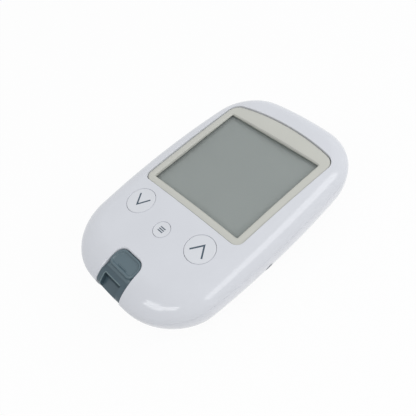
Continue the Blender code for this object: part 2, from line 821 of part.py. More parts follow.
def build_battery_door(finish):
    """Door plate with a barrel and two pins at its far edge and a latch tongue at its near edge."""
    door = prism("battery_door", door_outline(), DOOR_INSET, DOOR_INSET + DOOR_THICKNESS, finish)
    pin_end = door_half_width + HINGE_PIN_LENGTH
    barrel = turned(
        "hinge barrel",
        [(HINGE_PIN_RADIUS, -pin_end), (HINGE_PIN_RADIUS, -door_half_width)]
        + [(HINGE_RADIUS, -door_half_width), (HINGE_RADIUS, door_half_width)]
        + [(HINGE_PIN_RADIUS, door_half_width), (HINGE_PIN_RADIUS, pin_end)],
        sides=SMALL_CIRCLE_SIDES,
        axis="X",
        centre=(0.0, hinge_y, hinge_height),
    )
    unite(door, barrel)
    latch_near = bay_near_end + GAP
    latch = box(
        "latch tongue",
        (-LATCH_HALF_WIDTH, LATCH_HALF_WIDTH),
        (latch_near, latch_near + LATCH_THICKNESS),
        (DOOR_INSET + DOOR_THICKNESS / 2, DOOR_INSET + DOOR_THICKNESS + LATCH_HEIGHT),
    )
    unite(door, latch)
    move_origins((door, barrel, latch), (0.0, hinge_y, hinge_height))
    return door


def build_display_frame(finish):
    """Cream frame: skirt, flange under the case and a chamfered view opening; its top follows the crown."""
    outline = display_outline()
    middle = Vector((0.0, (view_near_edge + view_far_edge) / 2))

    def top_ring(points, drop):
        return [(x, y, crown(x, y) - FRAME_DROP - drop) for x, y in points]

    rings = [[(x, y, frame_bottom) for x, y in outline], top_ring(outline, FRAME_ROUND)]
    rings.append(top_ring(display_outline(-FRAME_ROUND), 0.0))
    for share in CROWN_RING_SHARES:
        shrunk = [
            tuple(middle + (Vector(point) - middle) * share) for point in display_outline(-FRAME_ROUND)
        ]
        rings.append(top_ring(shrunk, 0.0))
    rings.append([(middle.x, middle.y, crown(middle.x, middle.y) - FRAME_DROP)])
    frame = loft("display_frame", rings, finish)
    flange = prism(
        "frame flange", display_outline(FRAME_FLANGE), frame_bottom, frame_bottom + FRAME_FLANGE_THICKNESS
    )
    unite(frame, flange)
    room = WINDOW_LAP + FINE_GAP * 2
    pocket = prism(
        "window pocket",
        rectangle(view_half_width, view_near_edge, view_far_edge, room),
        frame_bottom - OVERRUN,
        window_top + FINE_GAP,
    )
    cut(frame, pocket)
    view = rectangle(view_half_width, view_near_edge, view_far_edge)
    mouth = rectangle(view_half_width, view_near_edge, view_far_edge, VIEW_CHAMFER + OVERRUN)

    def opening_ring(points, rise, base):
        return [(x, y, crown(*spot) - FRAME_DROP + rise) for (x, y), spot in zip(points, base)]

    opening = loft(
        "view opening",
        [
            [(x, y, frame_bottom) for x, y in view],
            opening_ring(view, -VIEW_CHAMFER, view),
            opening_ring(mouth, OVERRUN, view),
        ],
    )
    cut(frame, opening)
    return frame


def build_display_window(finish):
    outline = rectangle(view_half_width, view_near_edge, view_far_edge, WINDOW_LAP)
    return prism("display_window", outline, window_top - WINDOW_THICKNESS, window_top, finish)


def build_lcd_panel(finish):
    """Two glasses: the rear one reaches further at the near edge, where the contacts are."""
    far = view_far_edge + LCD_LAP
    half = view_half_width + LCD_LAP
    near = view_near_edge - LCD_LAP
    split = lcd_top - LCD_FRONT_GLASS
    profile = [
        (near, lcd_bottom),
        (far, lcd_bottom),
        (far, lcd_top),
        (near + LCD_CONTACT_EDGE - LCD_LAP, lcd_top),
        (near + LCD_CONTACT_EDGE - LCD_LAP, split),
        (near, split),
    ]
    return across_prism("lcd_panel", profile, half, finish)


def build_lcd_holder(finish):
    """Tray that carries the glass over the board, open in the middle."""
    half = view_half_width + LCD_LAP + FINE_GAP
    near = view_near_edge - LCD_LAP - FINE_GAP
    far = view_far_edge + LCD_LAP + FINE_GAP
    base = board_top + FINE_GAP
    holder = prism("lcd_holder", rectangle(half, near, far, HOLDER_WALL), base, holder_top, finish)
    seat = lcd_bottom - FINE_GAP
    cut(holder, prism("glass seat", rectangle(half, near, far), seat, holder_top + OVERRUN))
    inner_near = near + FINE_GAP
    inner = rectangle(half - HOLDER_LEDGE, inner_near, far - HOLDER_LEDGE)
    cut(holder, prism("holder window", inner, base - OVERRUN, seat + OVERRUN))
    return holder


def build_zebra_strip(finish):
    near = view_near_edge - LCD_LAP + FINE_GAP
    return box(
        "zebra_strip",
        (-zebra_half_length, zebra_half_length),
        (near, near + ZEBRA_THICKNESS),
        (board_top + FINE_GAP, lcd_bottom - FINE_GAP),
        finish,
    )


def build_button(name, x, y, radius, finish):
    """Cap that follows the crown, with a slight dish, a retaining flange and a stem."""
    flange_top = crown(abs(x) + radius, abs(y) + radius) - WALL - GAP
    flange_bottom = flange_top - BUTTON_FLANGE_THICKNESS
    stem_bottom = switch_top + BUTTON_TRAVEL + FINE_GAP
    flange_radius = radius + GAP + BUTTON_FLANGE

    def level(ring_radius, height):
        return [(a, b, height) for a, b in circle(ring_radius)]

    def face(ring_radius, drop):
        return [(a, b, crown(x + a, y + b) - drop) for a, b in circle(ring_radius)]

    rings = [
        level(BUTTON_STEM_RADIUS, stem_bottom),
        level(BUTTON_STEM_RADIUS, flange_bottom),
        level(flange_radius, flange_bottom),
        level(flange_radius, flange_top),
        level(radius, flange_top),
        face(radius, BUTTON_EDGE),
        face(radius - BUTTON_EDGE, 0.0),
        face(radius / 2, BUTTON_DISH),
        [(0.0, 0.0, crown(x, y) - BUTTON_DISH)],
    ]
    button = loft(f"{name}_button", rings, finish)
    button.location = (x, y, 0.0)
    return button


def build_switch(name, x, y, finish):
    base = board_top + FINE_GAP
    switch = box(
        f"switch_{name}",
        (x - SWITCH_HALF_SIDE, x + SWITCH_HALF_SIDE),
        (y - SWITCH_HALF_SIDE, y + SWITCH_HALF_SIDE),
        (base, base + SWITCH_BODY_HEIGHT),
        finish,
    )
    plunger = turned(
        f"plunger {name}",
        [(SWITCH_PLUNGER_RADIUS, base + SWITCH_BODY_HEIGHT / 2), (SWITCH_PLUNGER_RADIUS, switch_top)],
        sides=SMALL_CIRCLE_SIDES,
        centre=(x, y, 0.0),
    )
    return unite(switch, plunger)


def build_port_housing(finish):
    """Blue-grey nose: cheeks, strip mouth with a ramp, strip passage and two wings under the case."""
    housing = prism("port_housing", port_outline(-GAP), nose_floor_height, case_height + OVERRUN, finish)
    combine(housing, case_core("nose form", NOSE_INSET), "INTERSECT")
    behind = port_back_edge + OVERRUN
    above = case_height + OVERRUN
    wide = PORT_HALF_WIDTH + PORT_FLARE + OVERRUN
    cut(housing, box("behind nose", (-wide, wide), (nose_block_back, behind), (0.0, above)))
    cut(
        housing,
        box("slider room", (-wide, wide), (deck_back_edge, behind), (nose_block_top, above)),
    )
    cut(
        housing,
        box("deck room", (-wide, wide), (mouth_back_edge - GAP, behind), (deck_height, above)),
    )
    wings = box(
        "nose wings",
        (-WING_HALF_WIDTH, WING_HALF_WIDTH),
        (wing_front, nose_block_back - FINE_GAP),
        (wing_top - WING_HEIGHT, wing_top),
    )
    unite(housing, wings)
    front = strip_end - OVERRUN
    slot_top = slot_floor + SLOT_HEIGHT
    funnel_back = mouth_back_edge + FUNNEL_DEPTH
    ramp_top = mouth_back_edge - GAP
    mouth = across_prism(
        "strip mouth",
        [
            (front, ramp_end_height),
            (ramp_top, slot_floor),
            (funnel_back, slot_floor),
            (funnel_back, slot_top),
            (mouth_back_edge, deck_height - MOUTH_LIP),
            (mouth_back_edge, case_height + OVERRUN),
            (front, case_height + OVERRUN),
        ],
        MOUTH_HALF_WIDTH,
    )
    cut(housing, mouth)
    passage = box(
        "strip passage",
        (-SLOT_HALF_WIDTH, SLOT_HALF_WIDTH),
        (funnel_back - GAP, nose_block_back + OVERRUN),
        (slot_floor, slot_top),
    )
    cut(housing, passage)
    return housing


def pad_outline(inset=0.0):
    """The slider pad's plan outline, drawn in by an inset."""
    near = pad_front_edge + inset
    spread = PORT_FLARE * (port_back_edge - near) / (port_back_edge - strip_end)
    half = PORT_HALF_WIDTH - GAP - inset
    near_radius = max(PAD_FRONT_CORNER - inset, PAD_EDGE)
    far_radius = max(PORT_BACK_CORNER - GAP - inset, PAD_EDGE)
    return rounded(
        [
            (-half - spread, near, near_radius),
            (half + spread, near, near_radius),
            (half, port_back_edge - GAP - inset, far_radius),
            (-half, port_back_edge - GAP - inset, far_radius),
        ]
    )


def build_ejector_slider(finish):
    """Dished thumb pad whose tail runs back under the case to the spring lug and the strip finger."""

    def ring(inset, drop):
        return [(x, y, crown(x, y) - NOSE_INSET - PAD_RIM_DROP - drop) for x, y in pad_outline(inset)]

    dish_edge = PAD_EDGE + PAD_RIM_WIDTH
    rings = [
        [(x, y, pad_bottom) for x, y in pad_outline()],
        ring(0.0, PAD_EDGE),
        ring(PAD_EDGE / 3, PAD_EDGE / 3),
        ring(PAD_EDGE, 0.0),
        ring(dish_edge, PAD_DISH / 8),
        ring(dish_edge + PAD_DISH, PAD_DISH * 2 / 3),
        ring(dish_edge + PAD_DISH * 2, PAD_DISH),
    ]
    slider = loft("ejector_slider", rings, finish)
    tail = box(
        "slider tail",
        (-TAIL_HALF_WIDTH, TAIL_HALF_WIDTH),
        (tail_front, tail_back),
        (tail_bottom, tail_top),
    )
    arm = box(
        "slider arm",
        (TAIL_HALF_WIDTH - OVERRUN, spring_x() + LUG_HALF_WIDTH),
        (tail_back - LUG_THICKNESS * 2, tail_back),
        (tail_bottom, tail_top - TAIL_THICKNESS / 6),
    )
    lug = box(
        "spring lug",
        (spring_x() - LUG_HALF_WIDTH, spring_x() + LUG_HALF_WIDTH),
        (lug_face(), tail_back),
        (eject_spring_height - LUG_HALF_WIDTH, tail_bottom + TAIL_THICKNESS / 2),
    )
    finger = box(
        "strip finger",
        (-FINGER_HALF_WIDTH, FINGER_HALF_WIDTH),
        (lug_face(), tail_back),
        (slot_floor + GAP, tail_bottom + TAIL_THICKNESS / 2),
    )
    for piece in (tail, arm, lug, finger):
        unite(slider, piece)
    move_origins((slider, tail, arm, lug, finger), (0.0, (port_back_edge + pad_front_edge) / 2, pad_bottom))
    return slider


def spring_x():
    """Distance of the ejector spring from the middle line, clear of the strip passage."""
    return WING_HALF_WIDTH - LUG_HALF_WIDTH


def lug_face():
    return tail_back - LUG_THICKNESS


def coil(name, path, wire, finish):
    """One unbroken wire along points, with filled ends; prints its least gap to itself."""
    curve = bpy.data.curves.new(name, "CURVE")
    curve.dimensions = "3D"
    curve.bevel_depth = wire
    curve.bevel_resolution = 1
    curve.use_fill_caps = True
    spline = curve.splines.new("POLY")
    spline.points.add(len(path) - 1)
    for point, place in zip(spline.points, path):
        point.co = (*place, 1.0)
    spline.use_smooth = True
    curve.materials.append(finish)
    thing = bpy.data.objects.new(name, curve)
    bpy.context.collection.objects.link(thing)
    spots = [Vector(place) for place in path]
    apart = CURL_POINTS // 2
    least = min(
        (spots[i] - spots[j]).length for i in range(len(spots)) for j in range(i + apart, len(spots))
    )
    print(f"{name}: least gap to itself {(least - 2 * wire) * 1000:.2f} mm")
    return thing


def coil_path(start, length, start_radius, end_radius, curls):
    """Points along a coil whose axis runs along +Y, with a closed-up last curl's radius at each end."""
    count = curls * CURL_POINTS
    path = []
    for step in range(count + 1):
        share = step / count
        angle = 2 * math.pi * curls * share
        radius = start_radius + (end_radius - start_radius) * share
        out, up = radius * math.cos(angle), radius * math.sin(angle)
        path.append((start[0] + out, start[1] + length * share, start[2] + up))
    return path


def build_ejector_spring(finish):
    start = nose_block_back + EJECT_SPRING_WIRE
    length = lug_face() - FINE_GAP - EJECT_SPRING_WIRE - start
    radius = EJECT_SPRING_RADIUS - EJECT_SPRING_WIRE
    path = coil_path((spring_x(), start, eject_spring_height), length, radius, radius, EJECT_SPRING_CURLS)
    return coil("ejector_spring", path, EJECT_SPRING_WIRE, finish)


def build_battery_spring(index, x, near, finish):
    """Cone-shaped coil between the bay wall and the flat end of a cell."""
    margin = GAP + BATTERY_SPRING_WIRE
    length = BATTERY_SPRING_LENGTH + GAP * 2 - margin * 2
    wide = BATTERY_SPRING_RADIUS
    tip = BATTERY_SPRING_TIP_RADIUS
    if near:
        start, first, last = bay_near_end + margin, wide, tip
    else:
        start, first, last = bay_far_end - margin - length, tip, wide
    path = coil_path((x, start, cell_height), length, first, last, BATTERY_SPRING_CURLS)
    return coil(f"battery_spring_{index}", path, BATTERY_SPRING_WIRE, finish)


def build_cell(index, x, nub_far, finish):
    """AAA cell with its nub at the far or at the near end."""
    body = CELL_LENGTH - CELL_NUB_LENGTH
    profile = [
        (CELL_RADIUS - CELL_EDGE, 0.0),
        (CELL_RADIUS, CELL_EDGE),
        (CELL_RADIUS, body - CELL_EDGE),
        (CELL_RADIUS - CELL_EDGE, body),
        (CELL_NUB_RADIUS, body),
        (CELL_NUB_RADIUS, CELL_LENGTH),
    ]
    if nub_far:
        start = cell_near_end
    else:
        profile = [(radius, CELL_LENGTH - along) for radius, along in reversed(profile)]
        start = bay_near_end + GAP * 2 + PLATE_THICKNESS
    return turned(f"cell_{index}", profile, finish, axis="Y", centre=(x, start, cell_height))


def build_battery_plate(index, x, near, finish):
    start = bay_near_end + FINE_GAP if near else bay_far_end - FINE_GAP - PLATE_THICKNESS
    return box(
        f"battery_plate_{index}",
        (x - PLATE_HALF_WIDTH, x + PLATE_HALF_WIDTH),
        (start, start + PLATE_THICKNESS),
        (cell_height - PLATE_HEIGHT / 2, cell_height + PLATE_HEIGHT / 2),
        finish,
    )


def build_circuit_board(finish):
    """Board that fills the case, with a tongue under the strip connector."""
    wide, tongue, bevel = board_half_width, BOARD_TONGUE_HALF_WIDTH, BOARD_CORNER_CUT
    right = [
        (tongue, board_tongue_edge),
        (tongue, board_near_edge - bevel),
        (wide - bevel, board_near_edge),
        (wide, board_near_edge + bevel),
        (wide, board_far_edge - bevel),
        (wide - bevel, board_far_edge),
    ]
    left = [(-x, y) for x, y in reversed(right)]
    board = prism("circuit_board", right + left, board_bottom, board_top, finish)
    for side in (-1, 1):
        hole = turned(
            f"board hole {side}",
            [(SCREW_RADIUS + GAP, board_bottom - OVERRUN), (SCREW_RADIUS + GAP, board_top + OVERRUN)],
            sides=SMALL_CIRCLE_SIDES,
            centre=(side * board_screw_x, board_screw_y, 0.0),
        )
        cut(board, hole)
    return board


def connector_span():
    """Front and back of the strip connector along Y."""
    front = nose_block_back + GAP
    return front, front + CONNECTOR_LENGTH


def build_strip_connector(finish):
    front, back = connector_span()
    base = board_top + FINE_GAP
    top = tail_bottom - GAP
    slot_top = slot_floor + SLOT_HEIGHT
    connector = box(
        "strip_connector",
        (-CONNECTOR_HALF_WIDTH, CONNECTOR_HALF_WIDTH),
        (front, back),
        (base, top),
        finish,
    )
    slot_back = front + CONNECTOR_SLOT_LENGTH
    slot = box(
        "connector slot",
        (-SLOT_HALF_WIDTH, SLOT_HALF_WIDTH),
        (front - OVERRUN, slot_back),
        (slot_floor, slot_top),
    )
    cut(connector, slot)
    finger_half = FINGER_HALF_WIDTH + GAP
    finger_room = box(
        "finger channel",
        (-finger_half, finger_half),
        (lug_face() - EJECT_TRAVEL - GAP, back + OVERRUN),
        (slot_floor, top + OVERRUN),
    )
    cut(connector, finger_room)
    return connector


def build_strip_contact(index, finish):
    """Bowed contact blade that lies along the roof of the connector's slot."""
    front, _ = connector_span()
    x = (index - (CONTACT_COUNT - 1) / 2) * CONTACT_PITCH
    start = front + GAP
    stop = lug_face() - EJECT_TRAVEL - GAP * 2
    ceiling = slot_floor + SLOT_HEIGHT - FINE_GAP
    span = stop - start
    upper = []
    for share in CONTACT_SHARES:
        upper.append((start + span * share, ceiling - CONTACT_BOW * 4 * share * (1 - share)))
    lower = [(y, z - CONTACT_THICKNESS) for y, z in reversed(upper)]
    return across_prism(f"strip_contact_{index + 1}", upper + lower, CONTACT_WIDTH / 2, finish, middle=x)


def build_data_jack(finish):
    """Socket under the board, with its bore behind the hole in the right flank."""
    depth_share = 1 - (jack_height - JACK_HALF_HEIGHT) / seam_height
    flank = case_half_width - SIDE_BELLY * (1 - math.sqrt(1 - depth_share**2))
    face = flank - WALL - GAP * 3
    length = face - block_half_width - JACK_BAY_GAP
    jack = box(
        "data_jack",
        (face - length, face),
        (JACK_Y - JACK_HALF_WIDTH, JACK_Y + JACK_HALF_WIDTH),
        (jack_height - JACK_HALF_HEIGHT, jack_height + JACK_HALF_HEIGHT),
        finish,
    )
    bore = turned(
        "jack bore",
        [(JACK_BORE_RADIUS, face - length * JACK_BORE_SHARE), (JACK_BORE_RADIUS, face + OVERRUN)],
        sides=SMALL_CIRCLE_SIDES,
        axis="X",
        centre=(0.0, JACK_Y, jack_height),
    )
    return cut(jack, bore)


def build_chip(finish):
    base = board_top + FINE_GAP
    return box(
        "processor_chip",
        (-CHIP_HALF_SIDE, CHIP_HALF_SIDE),
        (CHIP_Y - CHIP_HALF_SIDE, CHIP_Y + CHIP_HALF_SIDE),
        (base, base + CHIP_HEIGHT),
        finish,
    )


def build_buzzer(finish):
    top = board_bottom - FINE_GAP
    bottom = top - BUZZER_HEIGHT
    profile = [
        (BUZZER_PORT_RADIUS, bottom + BUZZER_HEIGHT / 3),
        (BUZZER_PORT_RADIUS, bottom),
        (BUZZER_RADIUS, bottom),
        (BUZZER_RADIUS, top),
    ]
    return turned("buzzer", profile, finish, centre=(buzzer_x, BUZZER_Y, 0.0))


def build_screw(name, x, y, seat, sign, length, head_radius, head_height, finish):
    """A screw whose head rests on a seat; it points up (sign 1) or down (sign -1)."""
    recess = min(SCREW_RECESS_DEPTH, head_height / 2)
    profile = [
        (SCREW_RECESS_RADIUS, -head_height + recess),
        (SCREW_RECESS_RADIUS, -head_height),
        (head_radius, -head_height),
        (head_radius, 0.0),
        (SCREW_RADIUS, 0.0),
        (SCREW_RADIUS, length),
    ]
    placed = [(radius, seat + sign * along) for radius, along in profile]
    if sign < 0:
        placed.reverse()
    return turned(name, placed, finish, sides=SMALL_CIRCLE_SIDES, centre=(x, y, 0.0))


def build_all():
    white = material("case white plastic", (222, 224, 230), 0.22)
    cream = material("frame cream plastic", (204, 204, 195), 0.4)
    clear = material("clear window", (225, 230, 230), 0.05, alpha=0.25)
    grey = material("display grey green", (148, 154, 152), 0.35)
    slate = material("port blue-grey plastic", (92, 110, 119), 0.35)
    pad_slate = material("slider blue-grey plastic", (98, 116, 124), 0.35)
    black = material("dark moulded plastic", (38, 40, 44), 0.5)
    natural = material("holder plastic", (196, 198, 196), 0.5)
    board_green = material("board laminate", (38, 92, 62), 0.45)
    rubber = material("zebra elastomer", (210, 150, 140), 0.7)
    steel = material("spring steel", (176, 178, 182), 0.28, metallic=1.0)
    gold = material("gilt contact metal", (212, 176, 104), 0.25, metallic=1.0)
    screw_steel = material("screw steel", (150, 152, 156), 0.32, metallic=1.0)
    cell_wrap = material("cell sleeve", (52, 66, 92), 0.35)

    build_front_shell(white)
    build_back_shell(white)
    build_battery_door(white)
    build_display_frame(cream)
    build_display_window(clear)
    build_lcd_panel(grey)
    build_lcd_holder(natural)
    build_zebra_strip(rubber)
    for name, x, y, radius in button_places():
        build_button(name, x, y, radius, white)
        build_switch(name, x, y, black)
    build_port_housing(slate)
    build_ejector_slider(pad_slate)
    build_ejector_spring(steel)
    build_strip_connector(black)
    for index in range(CONTACT_COUNT):
        build_strip_contact(index, gold)
    build_circuit_board(board_green)
    build_chip(black)
    build_buzzer(black)
    build_data_jack(black)
    for index, side in ((1, -1), (2, 1)):
        x = side * cell_spacing / 2
        spring_near = side < 0
        build_cell(index, x, spring_near, cell_wrap)
        build_battery_spring(index, x, spring_near, steel)
        build_battery_plate(index, x, not spring_near, steel)
    case_seat = screw_seat - GAP
    for index, (x, y) in enumerate(case_screw_places()):
        build_screw(
            f"case_screw_{index + 1}",
            x,
            y,
            case_seat,
            1,
            SCREW_LENGTH,
            SCREW_HEAD_RADIUS,
            SCREW_HEAD_HEIGHT,
            screw_steel,
        )
    for index, side in ((1, -1), (2, 1)):
        build_screw(
            f"board_screw_{index}",
            side * board_screw_x,
            board_screw_y,
            board_top + GAP,
            -1,
            BOARD_SCREW_LENGTH,
            BOARD_SCREW_HEAD_RADIUS,
            BOARD_SCREW_HEAD_HEIGHT,
            screw_steel,
        )


for leftover in list(bpy.data.objects):
    bpy.data.objects.remove(leftover, do_unlink=True)
build_all()
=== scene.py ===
"""Looks of a blood glucose meter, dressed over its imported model. Metres, +Z up, display end towards +Y."""

import math
from functools import partialmethod

import bmesh
import bpy
from mathutils import Matrix, Vector


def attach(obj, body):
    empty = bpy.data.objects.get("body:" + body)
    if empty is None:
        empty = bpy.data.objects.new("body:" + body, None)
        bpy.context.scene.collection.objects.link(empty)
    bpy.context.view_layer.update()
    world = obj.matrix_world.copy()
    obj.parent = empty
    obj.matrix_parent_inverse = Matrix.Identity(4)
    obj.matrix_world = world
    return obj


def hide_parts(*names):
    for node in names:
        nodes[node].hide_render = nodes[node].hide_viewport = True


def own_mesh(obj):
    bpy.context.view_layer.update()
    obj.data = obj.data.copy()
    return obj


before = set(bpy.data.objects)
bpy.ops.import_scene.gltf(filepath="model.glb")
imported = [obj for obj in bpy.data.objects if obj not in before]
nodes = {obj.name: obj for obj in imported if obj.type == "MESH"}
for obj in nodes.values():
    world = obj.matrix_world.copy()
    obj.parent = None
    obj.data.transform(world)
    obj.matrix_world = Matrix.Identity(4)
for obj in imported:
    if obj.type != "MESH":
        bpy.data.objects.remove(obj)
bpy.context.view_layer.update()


# The camera stands off the right-hand side of the strip end and looks down at the face at about fifty
# degrees, with the picture turned a little about the line of sight.
CAMERA_AZIMUTH = math.radians(58.886)
CAMERA_ELEVATION = math.radians(51.875)
CAMERA_ROLL = math.radians(-15.392)
CAMERA_DISTANCE = 0.186466
CAMERA_TARGET = Vector((-0.004222, -0.000868, 0.010))
PICTURE_SIDE = 416
FOCAL_PIXELS = 513.724
SENSOR_WIDTH = 36.0
NEAREST_SEEN = 0.01
FARTHEST_SEEN = 20.0


def put(name, data):
    """A new object with this data, linked into the scene."""
    made = bpy.data.objects.new(name, data)
    bpy.context.scene.collection.objects.link(made)
    return made


look_back = Vector(
    (
        math.sin(CAMERA_AZIMUTH) * math.cos(CAMERA_ELEVATION),
        -math.cos(CAMERA_AZIMUTH) * math.cos(CAMERA_ELEVATION),
        math.sin(CAMERA_ELEVATION),
    )
)
level_right = Vector((math.cos(CAMERA_AZIMUTH), math.sin(CAMERA_AZIMUTH), 0.0))
level_up = look_back.cross(level_right)
picture_right = level_right * math.cos(CAMERA_ROLL) + level_up * math.sin(CAMERA_ROLL)
picture_up = level_up * math.cos(CAMERA_ROLL) - level_right * math.sin(CAMERA_ROLL)
camera_turn = Matrix((picture_right, picture_up, look_back)).transposed().to_4x4()
camera = put("camera", bpy.data.cameras.new("camera"))
camera.matrix_world = Matrix.Translation(CAMERA_TARGET + look_back * CAMERA_DISTANCE) @ camera_turn
camera.data.sensor_width = SENSOR_WIDTH
camera.data.lens = FOCAL_PIXELS / PICTURE_SIDE * SENSOR_WIDTH
camera.data.clip_start = NEAREST_SEEN
camera.data.clip_end = FARTHEST_SEEN
bpy.context.scene.camera = camera
bpy.context.scene.view_settings.view_transform = "Standard"


# The room: a white table in a white surround that is brighter towards the far left, a long soft box on the
# right that draws the stripe along the shoulder, and a window with two panes beyond the strip end.
SURROUND_DARK = 0.20
SURROUND_BRIGHT = 0.86
SURROUND_TINT = (0.97, 0.985, 1.0, 1.0)
BRIGHT_SIDE = (-0.42, 0.70, 0.58)
WHITE = (1.0, 1.0, 1.0, 1.0)
TABLE_WIDTH = 6.0
TABLE_DROP = 0.00003
TABLE_TONES = ((0.0, (0.88, 0.885, 0.89, 1.0)), (1.0, (0.92, 0.92, 0.92, 1.0)))
TABLE_GLOW = 0.94
# name, direction, distance, width, height and power
LAMPS = (
    ("right soft box", (0.72, 0.37, 0.585), 0.60, 0.56, 0.22, 0.95),
    ("left pane", (-0.03, -0.66, 0.75), 0.60, 0.23, 0.11, 0.30),
    ("right pane", (0.28, -0.58, 0.765), 0.60, 0.14, 0.09, 0.15),
)


def feed(tree, node, sockets):
    """Gives each named socket a value, or a link from a socket, a figure or a node's first output."""
    for key, value in sockets.items():
        value = getattr(value, "socket", value)
        if isinstance(value, bpy.types.Node):
            value = value.outputs[0]
        if isinstance(value, bpy.types.NodeSocket):
            tree.links.new(value, node.inputs[key])
        else:
            node.inputs[key].default_value = value


def add_node(tree, kind, sockets=None, **settings):
    """Adds a node with its settings and feeds its sockets."""
    node = tree.nodes.new(kind)
    for name, setting in settings.items():
        setattr(node, name, setting)
    feed(tree, node, sockets or {})
    return node


def spread(tree, level, low, high, start=0.0, stop=1.0):
    """Takes a level that runs from start to stop over the range from low to high."""
    return add_node(tree, "ShaderNodeMapRange", {0: level, 1: start, 2: stop, 3: low, 4: high})


def ramp(tree, level, stops):
    """A colour that changes with a level, from a list of positions and colours."""
    node = add_node(tree, "ShaderNodeValToRGB", {0: level})
    elements = node.color_ramp.elements
    for index, (position, colour) in enumerate(stops):
        stop = elements[index] if index < len(elements) else elements.new(position)
        stop.position = position
        stop.color = colour
    return node


def seen_directly(tree):
    """1 for rays from the camera, from gloss and through glass, and 0 for the light that falls on things."""
    path = add_node(tree, "ShaderNodeLightPath").outputs
    either = {0: path["Is Camera Ray"], 1: path["Is Glossy Ray"]}
    any_of = {0: add_node(tree, "ShaderNodeMath", either, operation="MAXIMUM"), 1: path["Is Transmission Ray"]}
    return add_node(tree, "ShaderNodeMath", any_of, operation="MAXIMUM")


world = bpy.data.worlds.new("surround")
world.use_nodes = True
bpy.context.scene.world = world
air = world.node_tree
air.nodes.clear()
sky_way = add_node(air, "ShaderNodeTexCoord").outputs["Generated"]
facing = add_node(air, "ShaderNodeVectorMath", {0: sky_way, 1: BRIGHT_SIDE}, operation="DOT_PRODUCT")
sky_level = spread(air, facing.outputs["Value"], SURROUND_DARK, SURROUND_BRIGHT, start=-1.0)
even = add_node(air, "ShaderNodeBackground", {"Color": SURROUND_TINT, "Strength": sky_level})
white = add_node(air, "ShaderNodeBackground", {"Color": WHITE, "Strength": 1.0})
either_sky = add_node(air, "ShaderNodeMixShader", {0: seen_directly(air), 1: even, 2: white})
add_node(air, "ShaderNodeOutputWorld", {"Surface": either_sky})

table_paint = bpy.data.materials.new("white table")
table_paint.use_nodes = True
paint = table_paint.node_tree
paint.nodes.clear()
grain = add_node(paint, "ShaderNodeTexNoise", {"Scale": 40.0, "Detail": 4.0})
matt = add_node(paint, "ShaderNodeBsdfDiffuse", {"Color": ramp(paint, grain, TABLE_TONES)})
bright = add_node(paint, "ShaderNodeEmission", {"Color": WHITE, "Strength": 1.0})
lifted = add_node(paint, "ShaderNodeMath", {0: seen_directly(paint), 1: TABLE_GLOW}, operation="MULTIPLY")
either_paint = add_node(paint, "ShaderNodeMixShader", {0: lifted, 1: matt, 2: bright})
add_node(paint, "ShaderNodeOutputMaterial", {"Surface": either_paint})
table_mesh = bpy.data.meshes.new("table top")
reach = TABLE_WIDTH / 2
table_corners = [(x * reach, y * reach, -TABLE_DROP) for x, y in ((-1, -1), (1, -1), (1, 1), (-1, 1))]
table_mesh.from_pydata(table_corners, [], [(0, 1, 2, 3)])
table_mesh.materials.append(table_paint)
table_top = put("table top", table_mesh)

for name, way, distance, wide, tall, power in LAMPS:
    lamp = put(name, bpy.data.lights.new(name, "AREA"))
    lamp.data.shape = "RECTANGLE"
    lamp.data.size = wide
    lamp.data.size_y = tall
    lamp.data.energy = power
    direction = Vector(way).normalized()
    lamp.location = direction * distance
    lamp.rotation_euler = direction.to_track_quat("Z", "Y").to_euler()


# Front shell: the upper case half, moulded in glossy bluish-white plastic. Its face is a shallow crown
# whose shoulders roll down to the seam all the way round. The openings have softly rounded mouths.
CASE_LENGTH = 0.0960
CASE_WIDTH = 0.0612
CASE_HEIGHT = 0.0249
SEAM_HEIGHT = 0.0175
SEAM_GAP = 0.00004
SEAM_ROUND = 0.00008
CASE_WALL = 0.0019
OUTLINE_MIDDLE_Y = 0.0018
SIDE_BOW_RADIUS = 0.360
DISPLAY_END_RADIUS = 0.150
DISPLAY_CORNER_RADIUS = 0.0183
STRIP_END_RADIUS = 0.200
STRIP_CORNER_RADIUS = 0.0211
CROWN_ACROSS_RADIUS = 0.318
CROWN_ALONG_RADIUS = 0.603
SIDE_SHOULDER = 0.0078
DISPLAY_SHOULDER = 0.0059
STRIP_SHOULDER = 0.0112
NOSE_EXPONENT = 1.74
RIM_OUTER = 0.0009
TONGUE_HEIGHT = 0.0010
REBATE_GAP = 0.00045
WELD_DISTANCE = 0.000004
OUTLINE_FINE = 70
OUTLINE_COARSE = 40
CREASE = math.radians(32)
SHELL_COLOUR = (222, 224, 230)


class Figure:
    """A number in a node tree, so that the rule of a shape can be written as plain sums."""

    def __init__(self, tree, socket):
        self.tree = tree
        self.socket = socket

    def work(self, operation, *others, turned_round=False):
        """Joins this number and others in a Math node."""
        terms = (*others, self) if turned_round else (self, *others)
        node = add_node(self.tree, "ShaderNodeMath", dict(enumerate(terms)), operation=operation)
        return Figure(self.tree, node.outputs[0])

    __add__ = partialmethod(work, "ADD")
    __radd__ = partialmethod(work, "ADD", turned_round=True)
    __sub__ = partialmethod(work, "SUBTRACT")
    __rsub__ = partialmethod(work, "SUBTRACT", turned_round=True)
    __mul__ = partialmethod(work, "MULTIPLY")
    __rmul__ = partialmethod(work, "MULTIPLY", turned_round=True)
    __truediv__ = partialmethod(work, "DIVIDE")
    __rtruediv__ = partialmethod(work, "DIVIDE", turned_round=True)
    __pow__ = partialmethod(work, "POWER")
    least = partialmethod(work, "MINIMUM")
    most = partialmethod(work, "MAXIMUM")
    below = partialmethod(work, "LESS_THAN")


